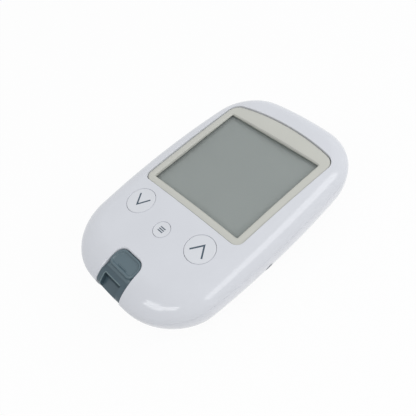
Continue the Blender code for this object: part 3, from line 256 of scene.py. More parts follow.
class Recipe:
    """A Geometry Nodes tree with its sizes as named inputs, grown into a plain mesh."""

    def __init__(self, name):
        self.tree = bpy.data.node_groups.new(name, "GeometryNodeTree")
        for way in ("INPUT", "OUTPUT"):
            self.tree.interface.new_socket("Geometry", in_out=way, socket_type="NodeSocketGeometry")
        self.source = self.tree.nodes.new("NodeGroupInput")
        self.sink = self.tree.nodes.new("NodeGroupOutput")
        self.values = {}

    def node(self, kind, sockets=None, **settings):
        return add_node(self.tree, kind, sockets, **settings)

    def size(self, name, value):
        """A named input and its value; whole numbers make a whole-number socket."""
        kind = "NodeSocketInt" if isinstance(value, int) else "NodeSocketFloat"
        made = self.tree.interface.new_socket(name, in_out="INPUT", socket_type=kind)
        self.values[made.identifier] = value
        return Figure(self.tree, self.source.outputs[name])

    def parts(self, socket):
        split = self.node("ShaderNodeSeparateXYZ", {0: socket})
        return [Figure(self.tree, out) for out in split.outputs]

    def place(self, x, y, z):
        return self.node("ShaderNodeCombineXYZ", {0: x, 1: y, 2: z})

    def steps(self, row, values):
        """Goes through values as row passes 0, 1, 2 and so on."""
        total = row * 0.0 + values[0]
        for index in range(len(values) - 1):
            passed = (row - float(index)).most(0.0).least(1.0)
            total = total + passed * (values[index + 1] - values[index])
        return total

    def together(self, pieces):
        node = self.node("GeometryNodeJoinGeometry")
        for piece in pieces:
            feed(self.tree, node, {0: piece})
        return node

    def finish(self, geometry, finish):
        real = self.node("GeometryNodeRealizeInstances", {"Geometry": geometry})
        coated = self.node("GeometryNodeSetMaterial", {"Geometry": real, "Material": finish})
        feed(self.tree, self.sink, {0: coated})

    def grow(self, name, base=None):
        """Runs the tree on an object, or on nothing, and returns what it makes as a plain mesh object."""
        base = base or put(f"{name} seed", bpy.data.meshes.new(f"{name} seed"))
        modifier = base.modifiers.new("grow", "NODES")
        modifier.node_group = self.tree
        for identifier, value in self.values.items():
            modifier[identifier] = value
        return plain_copy(name, base)


def plain_copy(name, base):
    """The evaluated object as a new mesh object at the origin; the base is thrown away."""
    bpy.context.view_layer.update()
    graph = bpy.context.evaluated_depsgraph_get()
    mesh = bpy.data.meshes.new_from_object(base.evaluated_get(graph), depsgraph=graph)
    mesh.name = name
    bpy.data.objects.remove(base)
    return put(name, mesh)


def case_outline(density):
    """Points and outward directions round the case at its widest level, anticlockwise from the right."""

    def quarter(end_radius, corner_radius, sign):
        side = Vector((CASE_WIDTH / 2 - SIDE_BOW_RADIUS, OUTLINE_MIDDLE_Y))
        end = Vector((0.0, sign * (CASE_LENGTH / 2 - end_radius)))
        side_reach = SIDE_BOW_RADIUS - corner_radius
        end_reach = end_radius - corner_radius
        between = end - side
        span = between.length
        along = (side_reach**2 - end_reach**2 + span**2) / (2 * span)
        across = math.sqrt(side_reach**2 - along**2)
        step = between / span
        square = Vector((-step.y, step.x))
        middle = max((side + step * along + square * across * way for way in (-1, 1)), key=lambda spot: spot.x)
        first = math.atan2(middle.y - side.y, middle.x - side.x)
        second = math.atan2(middle.y - end.y, middle.x - end.x)
        arcs = (
            (side, SIDE_BOW_RADIUS, 0.0, first, density),
            (middle, corner_radius, first, second, density * 2),
            (end, end_radius, second, sign * math.pi / 2, density),
        )
        found = []
        for centre, radius, start, stop, count in arcs:
            for index in range(count):
                angle = start + (stop - start) * index / count
                way = Vector((math.cos(angle), math.sin(angle)))
                found.append((centre + way * radius, way))
        found.append((Vector((0.0, sign * CASE_LENGTH / 2)), Vector((0.0, float(sign)))))
        return found

    near = quarter(STRIP_END_RADIUS, STRIP_CORNER_RADIUS, -1)
    far = quarter(DISPLAY_END_RADIUS, DISPLAY_CORNER_RADIUS, 1)
    right = near[::-1] + far[1:]
    left = [(Vector((-spot.x, spot.y)), Vector((-way.x, way.y))) for spot, way in right[-2:0:-1]]
    return right + left


def wire(name, points, closed=False):
    """A line through points, for a tree to read."""
    curve = bpy.data.curves.new(name, "CURVE")
    curve.dimensions = "3D"
    line = curve.splines.new("POLY")
    line.points.add(len(points) - 1)
    for point, spot in zip(line.points, points):
        point.co = (*spot, 1.0)
    line.use_cyclic_u = closed
    return put(name, curve)


def outline_wire():
    return wire("outline", [(spot.x, spot.y, 0.0) for spot, _ in case_outline(OUTLINE_FINE)], closed=True)


def crown(x, y):
    return CASE_HEIGHT - x**2 / (2 * CROWN_ACROSS_RADIUS) - y**2 / (2 * CROWN_ALONG_RADIUS)


AROUND = 340
SHOULDER_ROWS = 26
CROWN_ROWS = 26


def around_grid(recipe, rows):
    """A grid that goes once round the case: its mesh, its row (0 to 1), and the outline's point and way."""
    grid = recipe.node("GeometryNodeMeshGrid", {"Vertices X": AROUND + 1, "Vertices Y": rows + 1})
    share, row, _ = recipe.parts(grid.outputs["UV Map"])
    trace = recipe.node(
        "GeometryNodeSampleCurve",
        {"Curves": recipe.source.outputs[0], "Factor": share},
        mode="FACTOR",
        use_all_curves=True,
    )
    x, y, _ = recipe.parts(trace.outputs["Position"])
    along_x, along_y, _ = recipe.parts(trace.outputs["Tangent"])
    return grid.outputs["Mesh"], row, x, y, along_y, along_x * -1.0


def placed(recipe, mesh, x, y, z, flipped):
    moved = recipe.node("GeometryNodeSetPosition", {"Geometry": mesh, "Position": recipe.place(x, y, z)})
    return recipe.node("GeometryNodeFlipFaces", {"Mesh": moved}) if flipped else moved


def bent_sheet(recipe, sizes, edge_rows, face_rows):
    """A grid from the seam in to the middle of a face, and the rules that its bend and its flat part share."""
    rows = edge_rows + face_rows
    mesh, row, x, y, way_x, way_y = around_grid(recipe, rows)
    split = edge_rows / rows
    angle = (row / split).least(1.0) * (math.pi / 2)
    keep = 1.0 - ((row - split) / (1.0 - split)).most(0.0)
    end_width = sizes["display"] + (sizes["strip"] - sizes["display"]) * way_y.below(0.0)
    width = sizes["side"] * way_x**2.0 + end_width * way_y * way_y
    return mesh, x, y, way_x, way_y, angle, keep, width


def crowned_skin(recipe, sizes, inset, base, drop, flipped):
    """Shoulder and crown in one sheet, from the seam up and in to the middle of the face."""
    mesh, x, y, way_x, way_y, angle, keep, width = bent_sheet(recipe, sizes, SHOULDER_ROWS, CROWN_ROWS)
    share = 1.0 - angle.work("COSINE")
    reach = inset + (width - inset) * share
    flat_x = (x - way_x * reach) * keep
    flat_y = OUTLINE_MIDDLE_Y + (y - way_y * reach - OUTLINE_MIDDLE_Y) * keep
    across_drop = flat_x * flat_x / (2 * CROWN_ACROSS_RADIUS)
    top = sizes["height"] - across_drop - flat_y * flat_y / (2 * CROWN_ALONG_RADIUS)
    power = 2.0 + (NOSE_EXPONENT - 2.0) * way_y * way_y * way_y.below(0.0)
    risen = (1.0 - (1.0 - share).most(0.0) ** power).most(0.0) ** (1.0 / power)
    return placed(recipe, mesh, flat_x, flat_y, base + (top - drop - base) * risen, flipped)


def rim_band(recipe, insets, heights, flipped):
    """A band of rows round the rim, each at its own inset and height."""
    rows = len(insets) - 1
    mesh, row, x, y, way_x, way_y = around_grid(recipe, rows)
    inset = recipe.steps(row * float(rows), insets)
    height = recipe.steps(row * float(rows), heights)
    return placed(recipe, mesh, x - way_x * inset, y - way_y * inset, height, flipped)


def welded(recipe, sheets):
    whole = recipe.together(sheets)
    return recipe.node("GeometryNodeMergeByDistance", {"Geometry": whole, "Distance": WELD_DISTANCE})


def shade(colour, factor=1.0):
    """Scene-linear colour of a display colour, made lighter or darker by a factor."""
    return tuple(min((channel / 255) ** 2.2 * factor, 1.0) for channel in colour) + (1.0,)


def new_finish(name):
    """A material to be worked on: itself, its tree, its shader and the place on the object."""
    made = bpy.data.materials.new(name)
    made.use_nodes = True
    tree = made.node_tree
    where = add_node(tree, "ShaderNodeTexCoord").outputs["Object"]
    return made, tree, tree.nodes["Principled BSDF"], where


def noise(tree, where, scale, detail=2.0, roughness=0.5):
    sockets = {"Vector": where, "Scale": scale, "Detail": detail, "Roughness": roughness}
    return add_node(tree, "ShaderNodeTexNoise", sockets)


def relief(tree, height, depth, strength):
    return add_node(tree, "ShaderNodeBump", {"Height": height, "Distance": depth, "Strength": strength})


def moulded(name, colour, roughness, grain_depth=0.00001, mottle=0.02):
    """Moulded plastic: a faint mottle in the colour and the gloss, and the fine skin left by the tool."""
    made, tree, shader, where = new_finish(name)
    cloud = noise(tree, where, scale=90.0, detail=3.0)
    smear = noise(tree, where, scale=240.0, detail=5.0, roughness=0.6)
    skin = noise(tree, where, scale=2600.0)
    tint = ramp(tree, cloud, [(0.3, shade(colour, 1.0 - mottle)), (0.7, shade(colour, 1.0 + mottle))])
    gloss = spread(tree, smear, roughness * 0.82, roughness * 1.18)
    grain = relief(tree, skin, grain_depth, strength=0.5)
    feed(tree, shader, {"Base Color": tint, "Roughness": gloss, "Normal": grain})
    return made


def loft(name, rings, looped=False):
    """A mesh object through rings of equally many points. It is closed by its end rings or on itself."""
    count = len(rings[0])
    points = [tuple(point) for ring in rings for point in ring]
    faces = []
    for index in range(len(rings) if looped else len(rings) - 1):
        low = index * count
        high = (index + 1) % len(rings) * count
        for step in range(count):
            after = (step + 1) % count
            faces.append((low + step, low + after, high + after, high + step))
    if not looped:
        faces.append(tuple(range(count))[::-1])
        faces.append(tuple(range(len(points) - count, len(points))))
    mesh = bpy.data.meshes.new(name)
    mesh.from_pydata(points, [], faces)
    shape = bmesh.new()
    shape.from_mesh(mesh)
    bmesh.ops.recalc_face_normals(shape, faces=shape.faces)
    if shape.calc_volume(signed=True) < 0:
        bmesh.ops.reverse_faces(shape, faces=shape.faces)
    shape.to_mesh(mesh)
    shape.free()
    return put(name, mesh)


def at_height(outline, height):
    return [(x, y, height) for x, y in outline]


def prism(name, outline, levels):
    """A solid with the same outline in plan at each of its levels."""
    return loft(name, [at_height(outline, level) for level in levels])


def block(name, x, y, z):
    return prism(name, [(x[0], y[0]), (x[1], y[0]), (x[1], y[1]), (x[0], y[1])], z)


def round_ring(radius, sides, centre=(0.0, 0.0)):
    turn = 2 * math.pi / sides
    return [
        (centre[0] + radius * math.cos(turn * step), centre[1] + radius * math.sin(turn * step))
        for step in range(sides)
    ]


def turned(name, profile, sides=48, axis="Z", centre=(0.0, 0.0, 0.0)):
    """A solid turned from a profile of radius and distance along an axis."""
    rings = []
    for radius, along in profile:
        ring = []
        for a, b in round_ring(radius, sides):
            way = (along, a, b) if axis == "X" else (a, b, along)
            ring.append(tuple(Vector(centre) + Vector(way)))
        rings.append(ring)
    return loft(name, rings)


tools = []


def joined(thing, other, operation):
    """Adds an exact Boolean with another shape, which is thrown away when the piece is finished."""
    modifier = thing.modifiers.new(other.name, "BOOLEAN")
    modifier.operation = operation
    modifier.solver = "EXACT"
    modifier.object = other
    other.hide_render = True
    tools.append(other)


def cut(thing, other):
    joined(thing, other, "DIFFERENCE")


def finished(thing, name, body, finish, replaced=()):
    """Applies what is on a piece, smooths it up to its creases, paints it and lets it ride on its body."""
    made = plain_copy(name, thing)
    while tools:
        bpy.data.objects.remove(tools.pop())
    made.data.materials.clear()
    made.data.materials.append(finish)
    for face in made.data.polygons:
        face.material_index = 0
    made.data.shade_smooth()
    made.data.set_sharp_from_angle(angle=CREASE)
    if replaced:
        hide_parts(*replaced)
    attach(made, body)
    return made


COARSE_OUTLINE = case_outline(OUTLINE_COARSE)


def face_height(x, y):
    """Height of the outside of the front shell over a point in plan, shoulders included."""
    spot = Vector((x, y))
    place, way = min(COARSE_OUTLINE, key=lambda pair: (pair[0] - spot).length_squared)
    inward = (place - spot).dot(way)
    end = DISPLAY_SHOULDER if way.y > 0 else STRIP_SHOULDER
    width = SIDE_SHOULDER * way.x**2 + end * way.y**2
    share = min(max(inward / width, 0.0), 1.0)
    power = 2.0 + (NOSE_EXPONENT - 2.0) * way.y**2 * (way.y < 0)
    base = SEAM_HEIGHT + SEAM_GAP / 2
    return base + (crown(x, y) - base) * (1 - (1 - share) ** power) ** (1 / power)


def outward_ways(ring):
    """The outward direction at each point of an anticlockwise plan outline."""
    ways = []
    for index in range(len(ring)):
        before = Vector(ring[index - 1])
        after = Vector(ring[(index + 1) % len(ring)])
        along = (after - before).normalized()
        ways.append(Vector((along.y, -along.x)))
    return ways


OPENING_BOTTOM = SEAM_HEIGHT + 0.0005
OPENING_ABOVE = 0.004
OPENING_SLOPE = OPENING_ABOVE * math.tan(math.radians(12))
OPENING_TURN = math.radians(78)
OPENING_STEPS = 6


def rounded_edge(radius, steps, turn=math.pi / 2):
    """How far out and how far down each row of a rounded edge lies, from its foot up."""
    angles = [turn * step / steps for step in range(steps + 1)]
    return [(radius * (1 - math.cos(angle)), radius * (1 - math.sin(angle))) for angle in angles]


def opening_tool(name, ring, bottom, radius):
    """A cutter for an opening in the face whose mouth is rounded over by a radius."""
    ways = outward_ways(ring)
    rings = [[(x, y, bottom) for x, y in ring]]
    for out, down in rounded_edge(radius, OPENING_STEPS, OPENING_TURN):
        level = []
        for (x, y), way in zip(ring, ways):
            across, along = x + way.x * out, y + way.y * out
            level.append((across, along, face_height(across, along) - down))
        rings.append(level)
    top = []
    for (x, y, z), way in zip(rings[-1], ways):
        top.append((x + way.x * OPENING_SLOPE, y + way.y * OPENING_SLOPE, z + OPENING_ABOVE))
    return loft(name, rings + [top])


def rounded(corners, steps=8, between=0.0):
    """A plan outline with its corners (x, y and radius) rounded, and points along its long edges."""
    outline = []
    count = len(corners)
    for index, (x, y, radius) in enumerate(corners):
        here = Vector((x, y))
        before = (Vector(corners[index - 1][:2]) - here).normalized()
        after = (Vector(corners[(index + 1) % count][:2]) - here).normalized()
        if radius <= 0:
            outline.append(here)
            continue
        half = before.angle(after) / 2
        centre = here + (before + after).normalized() * (radius / math.sin(half))
        start = here + before * (radius / math.tan(half)) - centre
        turn = math.pi - 2 * half
        sign = 1 if before.cross(after) < 0 else -1
        for step in range(steps + 1):
            angle = sign * turn * step / steps
            cosine, sine = math.cos(angle), math.sin(angle)
            way = Vector((start.x * cosine - start.y * sine, start.x * sine + start.y * cosine))
            outline.append(centre + way)
    dense = []
    for index, spot in enumerate(outline):
        after = outline[(index + 1) % len(outline)]
        pieces = max(1, math.ceil((after - spot).length / between)) if between else 1
        dense.extend(tuple(spot.lerp(after, piece / pieces)) for piece in range(pieces))
    return dense


FRAME_HALF_WIDTH = 0.02365
FRAME_NEAR_EDGE = -0.01115
FRAME_FAR_EDGE = 0.03795
FRAME_NEAR_CORNER = 0.0028
FRAME_FAR_CORNER = 0.0044
FRAME_TAPER = 0.00045
FRAME_ARCH_RADIUS = 0.103
FRAME_SPACING = 0.0012
FRAME_GROOVE = 0.00022
KEY_GROOVE = 0.00011
# name, middle of the key and radius
KEYS = (
    ("down", -0.0150, -0.01925, 0.00515),
    ("middle", 0.0, -0.02247, 0.0030),
    ("up", 0.0150, -0.01925, 0.00515),
)
KEY_SIDES = 96
PORT_HALF_WIDTH = 0.00586
PORT_FLARE = 0.00039
PORT_BACK_EDGE = -0.03445
PORT_BACK_CORNER = 0.0032
PORT_OUTSIDE = -CASE_LENGTH / 2 - 0.003
PORT_SPACING = 0.0008
PORT_BOTTOM = 0.0122
PORT_TOP = 0.03
FRAME_OPENING_ROUND = 0.00016
KEY_OPENING_ROUND = 0.00014
PORT_OPENING_ROUND = 0.00055


def frame_outline(grow=0.0):
    """The display frame in plan: a straight near edge, slightly spreading sides and an arched far edge."""
    half = FRAME_HALF_WIDTH + grow
    near = FRAME_NEAR_EDGE - grow
    far = FRAME_FAR_EDGE + grow
    near_corner = FRAME_NEAR_CORNER + grow
    far_corner = FRAME_FAR_CORNER + grow
    arch_radius = FRAME_ARCH_RADIUS + grow
    inner = half - FRAME_FAR_CORNER - grow

    def arch(x):
        return far - x**2 / (2 * arch_radius)

    crest = [(inner * share / 8, arch(inner * share / 8), 0.0) for share in range(7, -8, -1)]
    corners = [
        (-half + FRAME_TAPER, near, near_corner),
        (half - FRAME_TAPER, near, near_corner),
        (half, arch(half), far_corner),
    ]
    return rounded(corners + crest + [(-half, arch(half), far_corner)], between=FRAME_SPACING)


def port_spread(y):
    """How much wider the port is on each side at a place than at its back edge."""
    return PORT_FLARE * (PORT_BACK_EDGE - y) / (CASE_LENGTH / 2 + PORT_BACK_EDGE)


def port_outline(grow=0.0):
    """The strip port in plan, open towards the end of the case and spreading a little on its way there."""
    half = PORT_HALF_WIDTH + grow
    wide = half + port_spread(PORT_OUTSIDE)
    back = PORT_BACK_EDGE + grow
    corner = PORT_BACK_CORNER + grow
    ends = [(-wide, PORT_OUTSIDE, 0.0), (wide, PORT_OUTSIDE, 0.0)]
    return rounded(ends + [(half, back, corner), (-half, back, corner)], between=PORT_SPACING)


def shoulder_sizes(recipe):
    return {
        "height": recipe.size("Crown height", CASE_HEIGHT),
        "side": recipe.size("Side shoulder", SIDE_SHOULDER),
        "display": recipe.size("Display end shoulder", DISPLAY_SHOULDER),
        "strip": recipe.size("Strip end shoulder", STRIP_SHOULDER),
    }


shell_white = moulded("glossy white case plastic", SHELL_COLOUR, 0.10, grain_depth=0.0000015, mottle=0.012)
upper = Recipe("front shell rule")
face_sizes = shoulder_sizes(upper)
wall = upper.size("Wall", CASE_WALL)
seam_base = SEAM_HEIGHT + SEAM_GAP / 2
rebate = SEAM_HEIGHT + TONGUE_HEIGHT + REBATE_GAP
zero = wall * 0.0
outside = crowned_skin(upper, face_sizes, zero, seam_base + SEAM_ROUND, zero, False)
inside = crowned_skin(upper, face_sizes, wall, rebate, wall, True)
soft = SEAM_ROUND * 0.3
rim = rim_band(
    upper,
    [0.0, soft, SEAM_ROUND, RIM_OUTER, RIM_OUTER, CASE_WALL],
    [seam_base + SEAM_ROUND, seam_base + soft, seam_base, seam_base, rebate, rebate],
    True,
)
upper.finish(welded(upper, [outside, rim, inside]), shell_white)
front_shell = upper.grow("front_shell_rough", outline_wire())
hole = frame_outline(FRAME_GROOVE)
cut(front_shell, opening_tool("display opening", hole, OPENING_BOTTOM, FRAME_OPENING_ROUND))
for key, x, y, radius in KEYS:
    hole = round_ring(radius + KEY_GROOVE, KEY_SIDES, (x, y))
    cut(front_shell, opening_tool(f"{key} key hole", hole, OPENING_BOTTOM, KEY_OPENING_ROUND))
cut(front_shell, opening_tool("port opening", port_outline(), PORT_BOTTOM, PORT_OPENING_ROUND))
finished(front_shell, "front_shell_skin", "case", shell_white, ["front_shell"])


# Back shell: the lower case half in the same white plastic. Its belly curves in from the seam to the flat
# rest face. It is moulded in one with the battery bay, four screw columns, two board posts and a tongue.
SIDE_BELLY = 0.0141
DISPLAY_BELLY = 0.0150
STRIP_BELLY = 0.0265
BELLY_ROWS = 24
FOOT_ROWS = 6
BAY_NEAR_END = -0.0202
BAY_FAR_END = 0.0294
BAY_HALF_WIDTH = 0.01115
BAY_CEILING = 0.0131
BAY_WALL = 0.0016
DOOR_HALF_WIDTH = 0.0122
DOOR_BOTTOM = 0.00015
DOOR_TOP = 0.00195
DOOR_NEAR_EDGE = -0.0218
HINGE_Y = 0.0312
HINGE_Z = 0.00165
HINGE_RADIUS = 0.0015
DOOR_GAP = 0.0003
DOOR_CORNER = 0.0020
BAY_ROOF = 0.0012
HINGE_ROOM = 0.0006
PIN_ROOM_RADIUS = 0.001
PIN_ROOM_REACH = 0.0134
CASE_SCREWS = ((-0.0155, 0.0404), (0.0155, 0.0404), (-0.0210, -0.0305), (0.0210, -0.0305))
BOARD_SCREWS = ((-0.0220, -0.0155), (0.0220, -0.0155))
COLUMN_RADIUS = 0.0036
COLUMN_TOP = 0.0103
POST_RADIUS = 0.0024
POST_TOP = 0.0143
SCREW_SEAT = 0.0085
COUNTERBORE_RADIUS = 0.0025
SCREW_HOLE_RADIUS = 0.0012
TONGUE_GAP = 0.0003
OUTSIDE = 0.002
JACK_Y = -0.0049
JACK_Z = 0.0113
JACK_HOLE_RADIUS = 0.00155
JACK_HOLE_STATIONS = (0.0165, 0.0276, 0.0328)


def belly_skin(recipe, sizes, inset, top, bottom, flipped):
    """Belly and rest face in one sheet, from the seam down and in to the middle of the rest face."""
    mesh, x, y, way_x, way_y, angle, keep, width = bent_sheet(recipe, sizes, BELLY_ROWS, FOOT_ROWS)
    bend = 1.0 - angle.work("COSINE")
    reach = inset + (width - inset) * bend.least(0.5)
    late = (bend - 0.5).most(0.0) * 2.0
    foot_x = x * (1.0 - sizes["side"] * 2.0 / CASE_WIDTH)
    foot_middle = (sizes["strip"] - sizes["display"]) / 2.0
    foot_y = foot_middle + y * (1.0 - (sizes["display"] + sizes["strip"]) / CASE_LENGTH)
    in_x = x - way_x * reach
    in_y = y - way_y * reach
    flat_x = (in_x + (foot_x - in_x) * late) * keep
    flat_y = foot_middle + (in_y + (foot_y - in_y) * late - foot_middle) * keep
    return placed(recipe, mesh, flat_x, flat_y, top - (top - bottom) * angle.work("SINE"), flipped)


def belly_sizes(recipe):
    return {
        "side": recipe.size("Side belly", SIDE_BELLY),
        "display": recipe.size("Display end belly", DISPLAY_BELLY),
        "strip": recipe.size("Strip end belly", STRIP_BELLY),
    }


def case_core(name, depth):
    """The whole outer form of the case as one solid, drawn in by a small depth."""
    core = Recipe(name)
    top_sizes = shoulder_sizes(core)
    low_sizes = belly_sizes(core)
    drawn_in = core.size("Depth", depth)
    seam = drawn_in * 0.0 + SEAM_HEIGHT
    upper_half = crowned_skin(core, top_sizes, drawn_in, seam, drawn_in, False)
    lower_half = belly_skin(core, low_sizes, drawn_in, seam, drawn_in, True)
    core.finish(welded(core, [upper_half, lower_half]), shell_white)
    return core.grow(name, outline_wire())


lower = Recipe("back shell rule")
under_sizes = belly_sizes(lower)
back_wall = lower.size("Wall", CASE_WALL)
none = back_wall * 0.0
seam_top = SEAM_HEIGHT - SEAM_GAP / 2
tongue_top = seam_top + TONGUE_HEIGHT
tongue_inset = RIM_OUTER + TONGUE_GAP
belly_outside = belly_skin(lower, under_sizes, none, none + (seam_top - SEAM_ROUND), none, True)
belly_inside = belly_skin(lower, under_sizes, back_wall, none + seam_top, back_wall, False)
tongue = rim_band(
    lower,
    [0.0, soft, SEAM_ROUND, tongue_inset, tongue_inset, CASE_WALL, CASE_WALL],
    [seam_top - SEAM_ROUND, seam_top - soft, seam_top, seam_top, tongue_top, tongue_top, seam_top],
    False,
)
lower.finish(welded(lower, [belly_outside, tongue, belly_inside]), shell_white)
back_shell = lower.grow("back_shell_rough", outline_wire())
half_block = DOOR_HALF_WIDTH + DOOR_GAP + BAY_WALL
bay_length = (BAY_NEAR_END - BAY_WALL, HINGE_Y + HINGE_RADIUS + DOOR_GAP + BAY_WALL)
bay_block = block("bay block", (-half_block, half_block), bay_length, (CASE_WALL / 2, BAY_CEILING + BAY_ROOF))
joined(back_shell, bay_block, "UNION")
columns = [(spot, COLUMN_RADIUS, COLUMN_TOP) for spot in CASE_SCREWS]
columns += [(spot, POST_RADIUS, POST_TOP) for spot in BOARD_SCREWS]
for index, ((x, y), radius, top) in enumerate(columns):
    column = turned(f"column {index}", [(radius, 0.0), (radius, top)], centre=(x, y, 0.0))
    joined(column, case_core(f"column limit {index}", CASE_WALL / 2), "INTERSECT")
    joined(back_shell, column, "UNION")
bore = [(COUNTERBORE_RADIUS, -OUTSIDE), (COUNTERBORE_RADIUS, SCREW_SEAT)]
bore += [(SCREW_HOLE_RADIUS, SCREW_SEAT), (SCREW_HOLE_RADIUS, COLUMN_TOP + OUTSIDE)]
for index, (x, y) in enumerate(CASE_SCREWS):
    cut(back_shell, turned(f"counterbore {index}", bore, sides=64, centre=(x, y, 0.0)))
bay_room = block("bay", (-BAY_HALF_WIDTH, BAY_HALF_WIDTH), (BAY_NEAR_END, BAY_FAR_END), (-OUTSIDE, BAY_CEILING))
cut(back_shell, bay_room)


def door_outline(grow=0.0):
    half = DOOR_HALF_WIDTH + grow
    near = DOOR_NEAR_EDGE - grow
    near_corners = [(-half, near, DOOR_CORNER), (half, near, DOOR_CORNER)]
    return rounded(near_corners + [(half, HINGE_Y, 0.0), (-half, HINGE_Y, 0.0)], steps=10)


cut(back_shell, prism("door room", door_outline(DOOR_GAP), (-OUTSIDE, DOOR_TOP + DOOR_GAP)))
groove = block(
    "hinge groove",
    (-DOOR_HALF_WIDTH - DOOR_GAP, DOOR_HALF_WIDTH + DOOR_GAP),
    (HINGE_Y - HINGE_RADIUS - HINGE_ROOM, HINGE_Y + HINGE_RADIUS + DOOR_GAP),
    (-OUTSIDE, HINGE_Z + HINGE_RADIUS + DOOR_GAP),
)
cut(back_shell, groove)
pin_profile = [(PIN_ROOM_RADIUS, -PIN_ROOM_REACH), (PIN_ROOM_RADIUS, PIN_ROOM_REACH)]
cut(back_shell, turned("pin room", pin_profile, axis="X", centre=(0.0, HINGE_Y, HINGE_Z)))
cut(back_shell, prism("lower port opening", port_outline(), (PORT_BOTTOM, PORT_TOP)))
jack_profile = [(JACK_HOLE_RADIUS, station) for station in JACK_HOLE_STATIONS]
cut(back_shell, turned("jack hole", jack_profile, axis="X", centre=(0.0, JACK_Y, JACK_Z)))
finished(back_shell, "back_shell_skin", "case", shell_white, ["back_shell"])


# Display frame: one cream satin moulding with a bevelled opening for the display. It is pushed up into
# the front shell from below, and a flange all round its foot stops it there.
FRAME_DROP = 0.00035
FRAME_ROUND = 0.0003
FRAME_BEVEL_WIDTH = 0.0012
FRAME_BEVEL_DROP = 0.00025
FRAME_FOOT = 0.0200
FLANGE_TOP = 0.0206
FLANGE_REACH = 0.0006
POCKET_REACH = 0.0013
VIEW_HALF_WIDTH = 0.0206
VIEW_NEAR_EDGE = -0.0086
VIEW_FAR_EDGE = 0.0306
VIEW_CORNER = 0.0005
VIEW_BEVEL = 0.00045
VIEW_SPACING = 0.0016
WINDOW_TOP = 0.02235
WINDOW_GAP = 0.00015
LEAST_TURN = 0.0004
frame_cream = moulded("satin cream frame plastic", (203, 203, 195), 0.42, grain_depth=0.000004, mottle=0.015)
frame_middle = Vector((0.0, (VIEW_NEAR_EDGE + VIEW_FAR_EDGE) / 2))


def oblong(x, y, corner):
    """The corners of a rectangle in plan, to be rounded."""
    return [(x[0], y[0], corner), (x[1], y[0], corner), (x[1], y[1], corner), (x[0], y[1], corner)]


def view_outline(grow=0.0):
    half = VIEW_HALF_WIDTH + grow
    ends = (VIEW_NEAR_EDGE - grow, VIEW_FAR_EDGE + grow)
    return rounded(oblong((-half, half), ends, VIEW_CORNER + max(grow, 0.0)), steps=5, between=VIEW_SPACING)


frame_spots = frame_outline() + view_outline()
frame_turns = sorted(math.atan2(y - frame_middle.y, x - frame_middle.x) for x, y in frame_spots)
frame_turns = [turn for at, turn in enumerate(frame_turns) if turn - frame_turns[at - 1] > LEAST_TURN or not at]


def seen_from_middle(outline):
    """Points where rays from the middle of the frame, at its fixed set of turns, cross an outline."""
    found = []
    edges = [
        (Vector(outline[index - 1]) - frame_middle, Vector(outline[index]) - frame_middle)
        for index in range(len(outline))
    ]
    for turn in frame_turns:
        way = Vector((math.cos(turn), math.sin(turn)))
        best = 0.0
        for start, stop in edges:
            run = stop - start
            cross = way.x * run.y - way.y * run.x
            if abs(cross) < 1e-12:
                continue
            out = (start.x * run.y - start.y * run.x) / cross
            share = (start.x * way.y - start.y * way.x) / cross
            if -1e-6 <= share <= 1 + 1e-6 and out > best:
                best = out
        found.append(tuple(frame_middle + way * best))
    return found


def on_frame(points, drop):
    return [(x, y, crown(x, y) - FRAME_DROP - drop) for x, y in points]


def partway(first, second, share):
    return [tuple(Vector(a).lerp(Vector(b), share)) for a, b in zip(first, second)]


flange_ring = seen_from_middle(frame_outline(FLANGE_REACH))
pocket_ring = seen_from_middle(view_outline(POCKET_REACH))
view_ring = seen_from_middle(view_outline())
mouth_ring = seen_from_middle(view_outline(VIEW_BEVEL))
edge_ring = seen_from_middle(frame_outline(-FRAME_BEVEL_WIDTH))
frame_rings = [
    at_height(pocket_ring, FRAME_FOOT),
    at_height(flange_ring, FRAME_FOOT),
    at_height(flange_ring, FLANGE_TOP),
    at_height(seen_from_middle(frame_outline()), FLANGE_TOP),
]
for inset, drop in rounded_edge(FRAME_ROUND, 5):
    frame_rings.append(on_frame(seen_from_middle(frame_outline(-inset)), FRAME_BEVEL_DROP + drop))
for share in (0.0, 0.08, 0.35, 0.65, 0.93):
    frame_rings.append(on_frame(partway(edge_ring, mouth_ring, share), 0.0))
for share, drop in ((0.0, 0.00002), (0.12, 0.00008), (0.85, VIEW_BEVEL * 0.85), (1.0, VIEW_BEVEL + 0.00008)):
    frame_rings.append(on_frame(partway(mouth_ring, view_ring, share), drop))
for ring in (view_ring, pocket_ring):
    frame_rings.append(at_height(ring, WINDOW_TOP + WINDOW_GAP))
display_frame = loft("display_frame_rough", frame_rings, looped=True)
finished(display_frame, "display_frame_skin", "case", frame_cream, ["display_frame"])


# Display window: a sheet of clear acrylic, hard coated, clamped between the frame and the glass below it.
clear, clear_tree, clear_shader, clear_where = new_finish("clear hard-coated acrylic")
clear_cloud = noise(clear_tree, clear_where, scale=160.0, detail=4.0)
clear_looks = {"Base Color": (0.62, 0.64, 0.64, 1.0), "Alpha": 0.07, "IOR": 1.49, "Specular IOR Level": 1.0}
feed(clear_tree, clear_shader, {**clear_looks, "Roughness": spread(clear_tree, clear_cloud, 0.015, 0.05)})


def repaint(node, finish):
    """Gives a CAD node another material in all its slots."""
    mesh = nodes[node].data
    if not mesh.materials:
        mesh.materials.append(finish)
    for index in range(len(mesh.materials)):
        mesh.materials[index] = finish


repaint("display_window", clear)


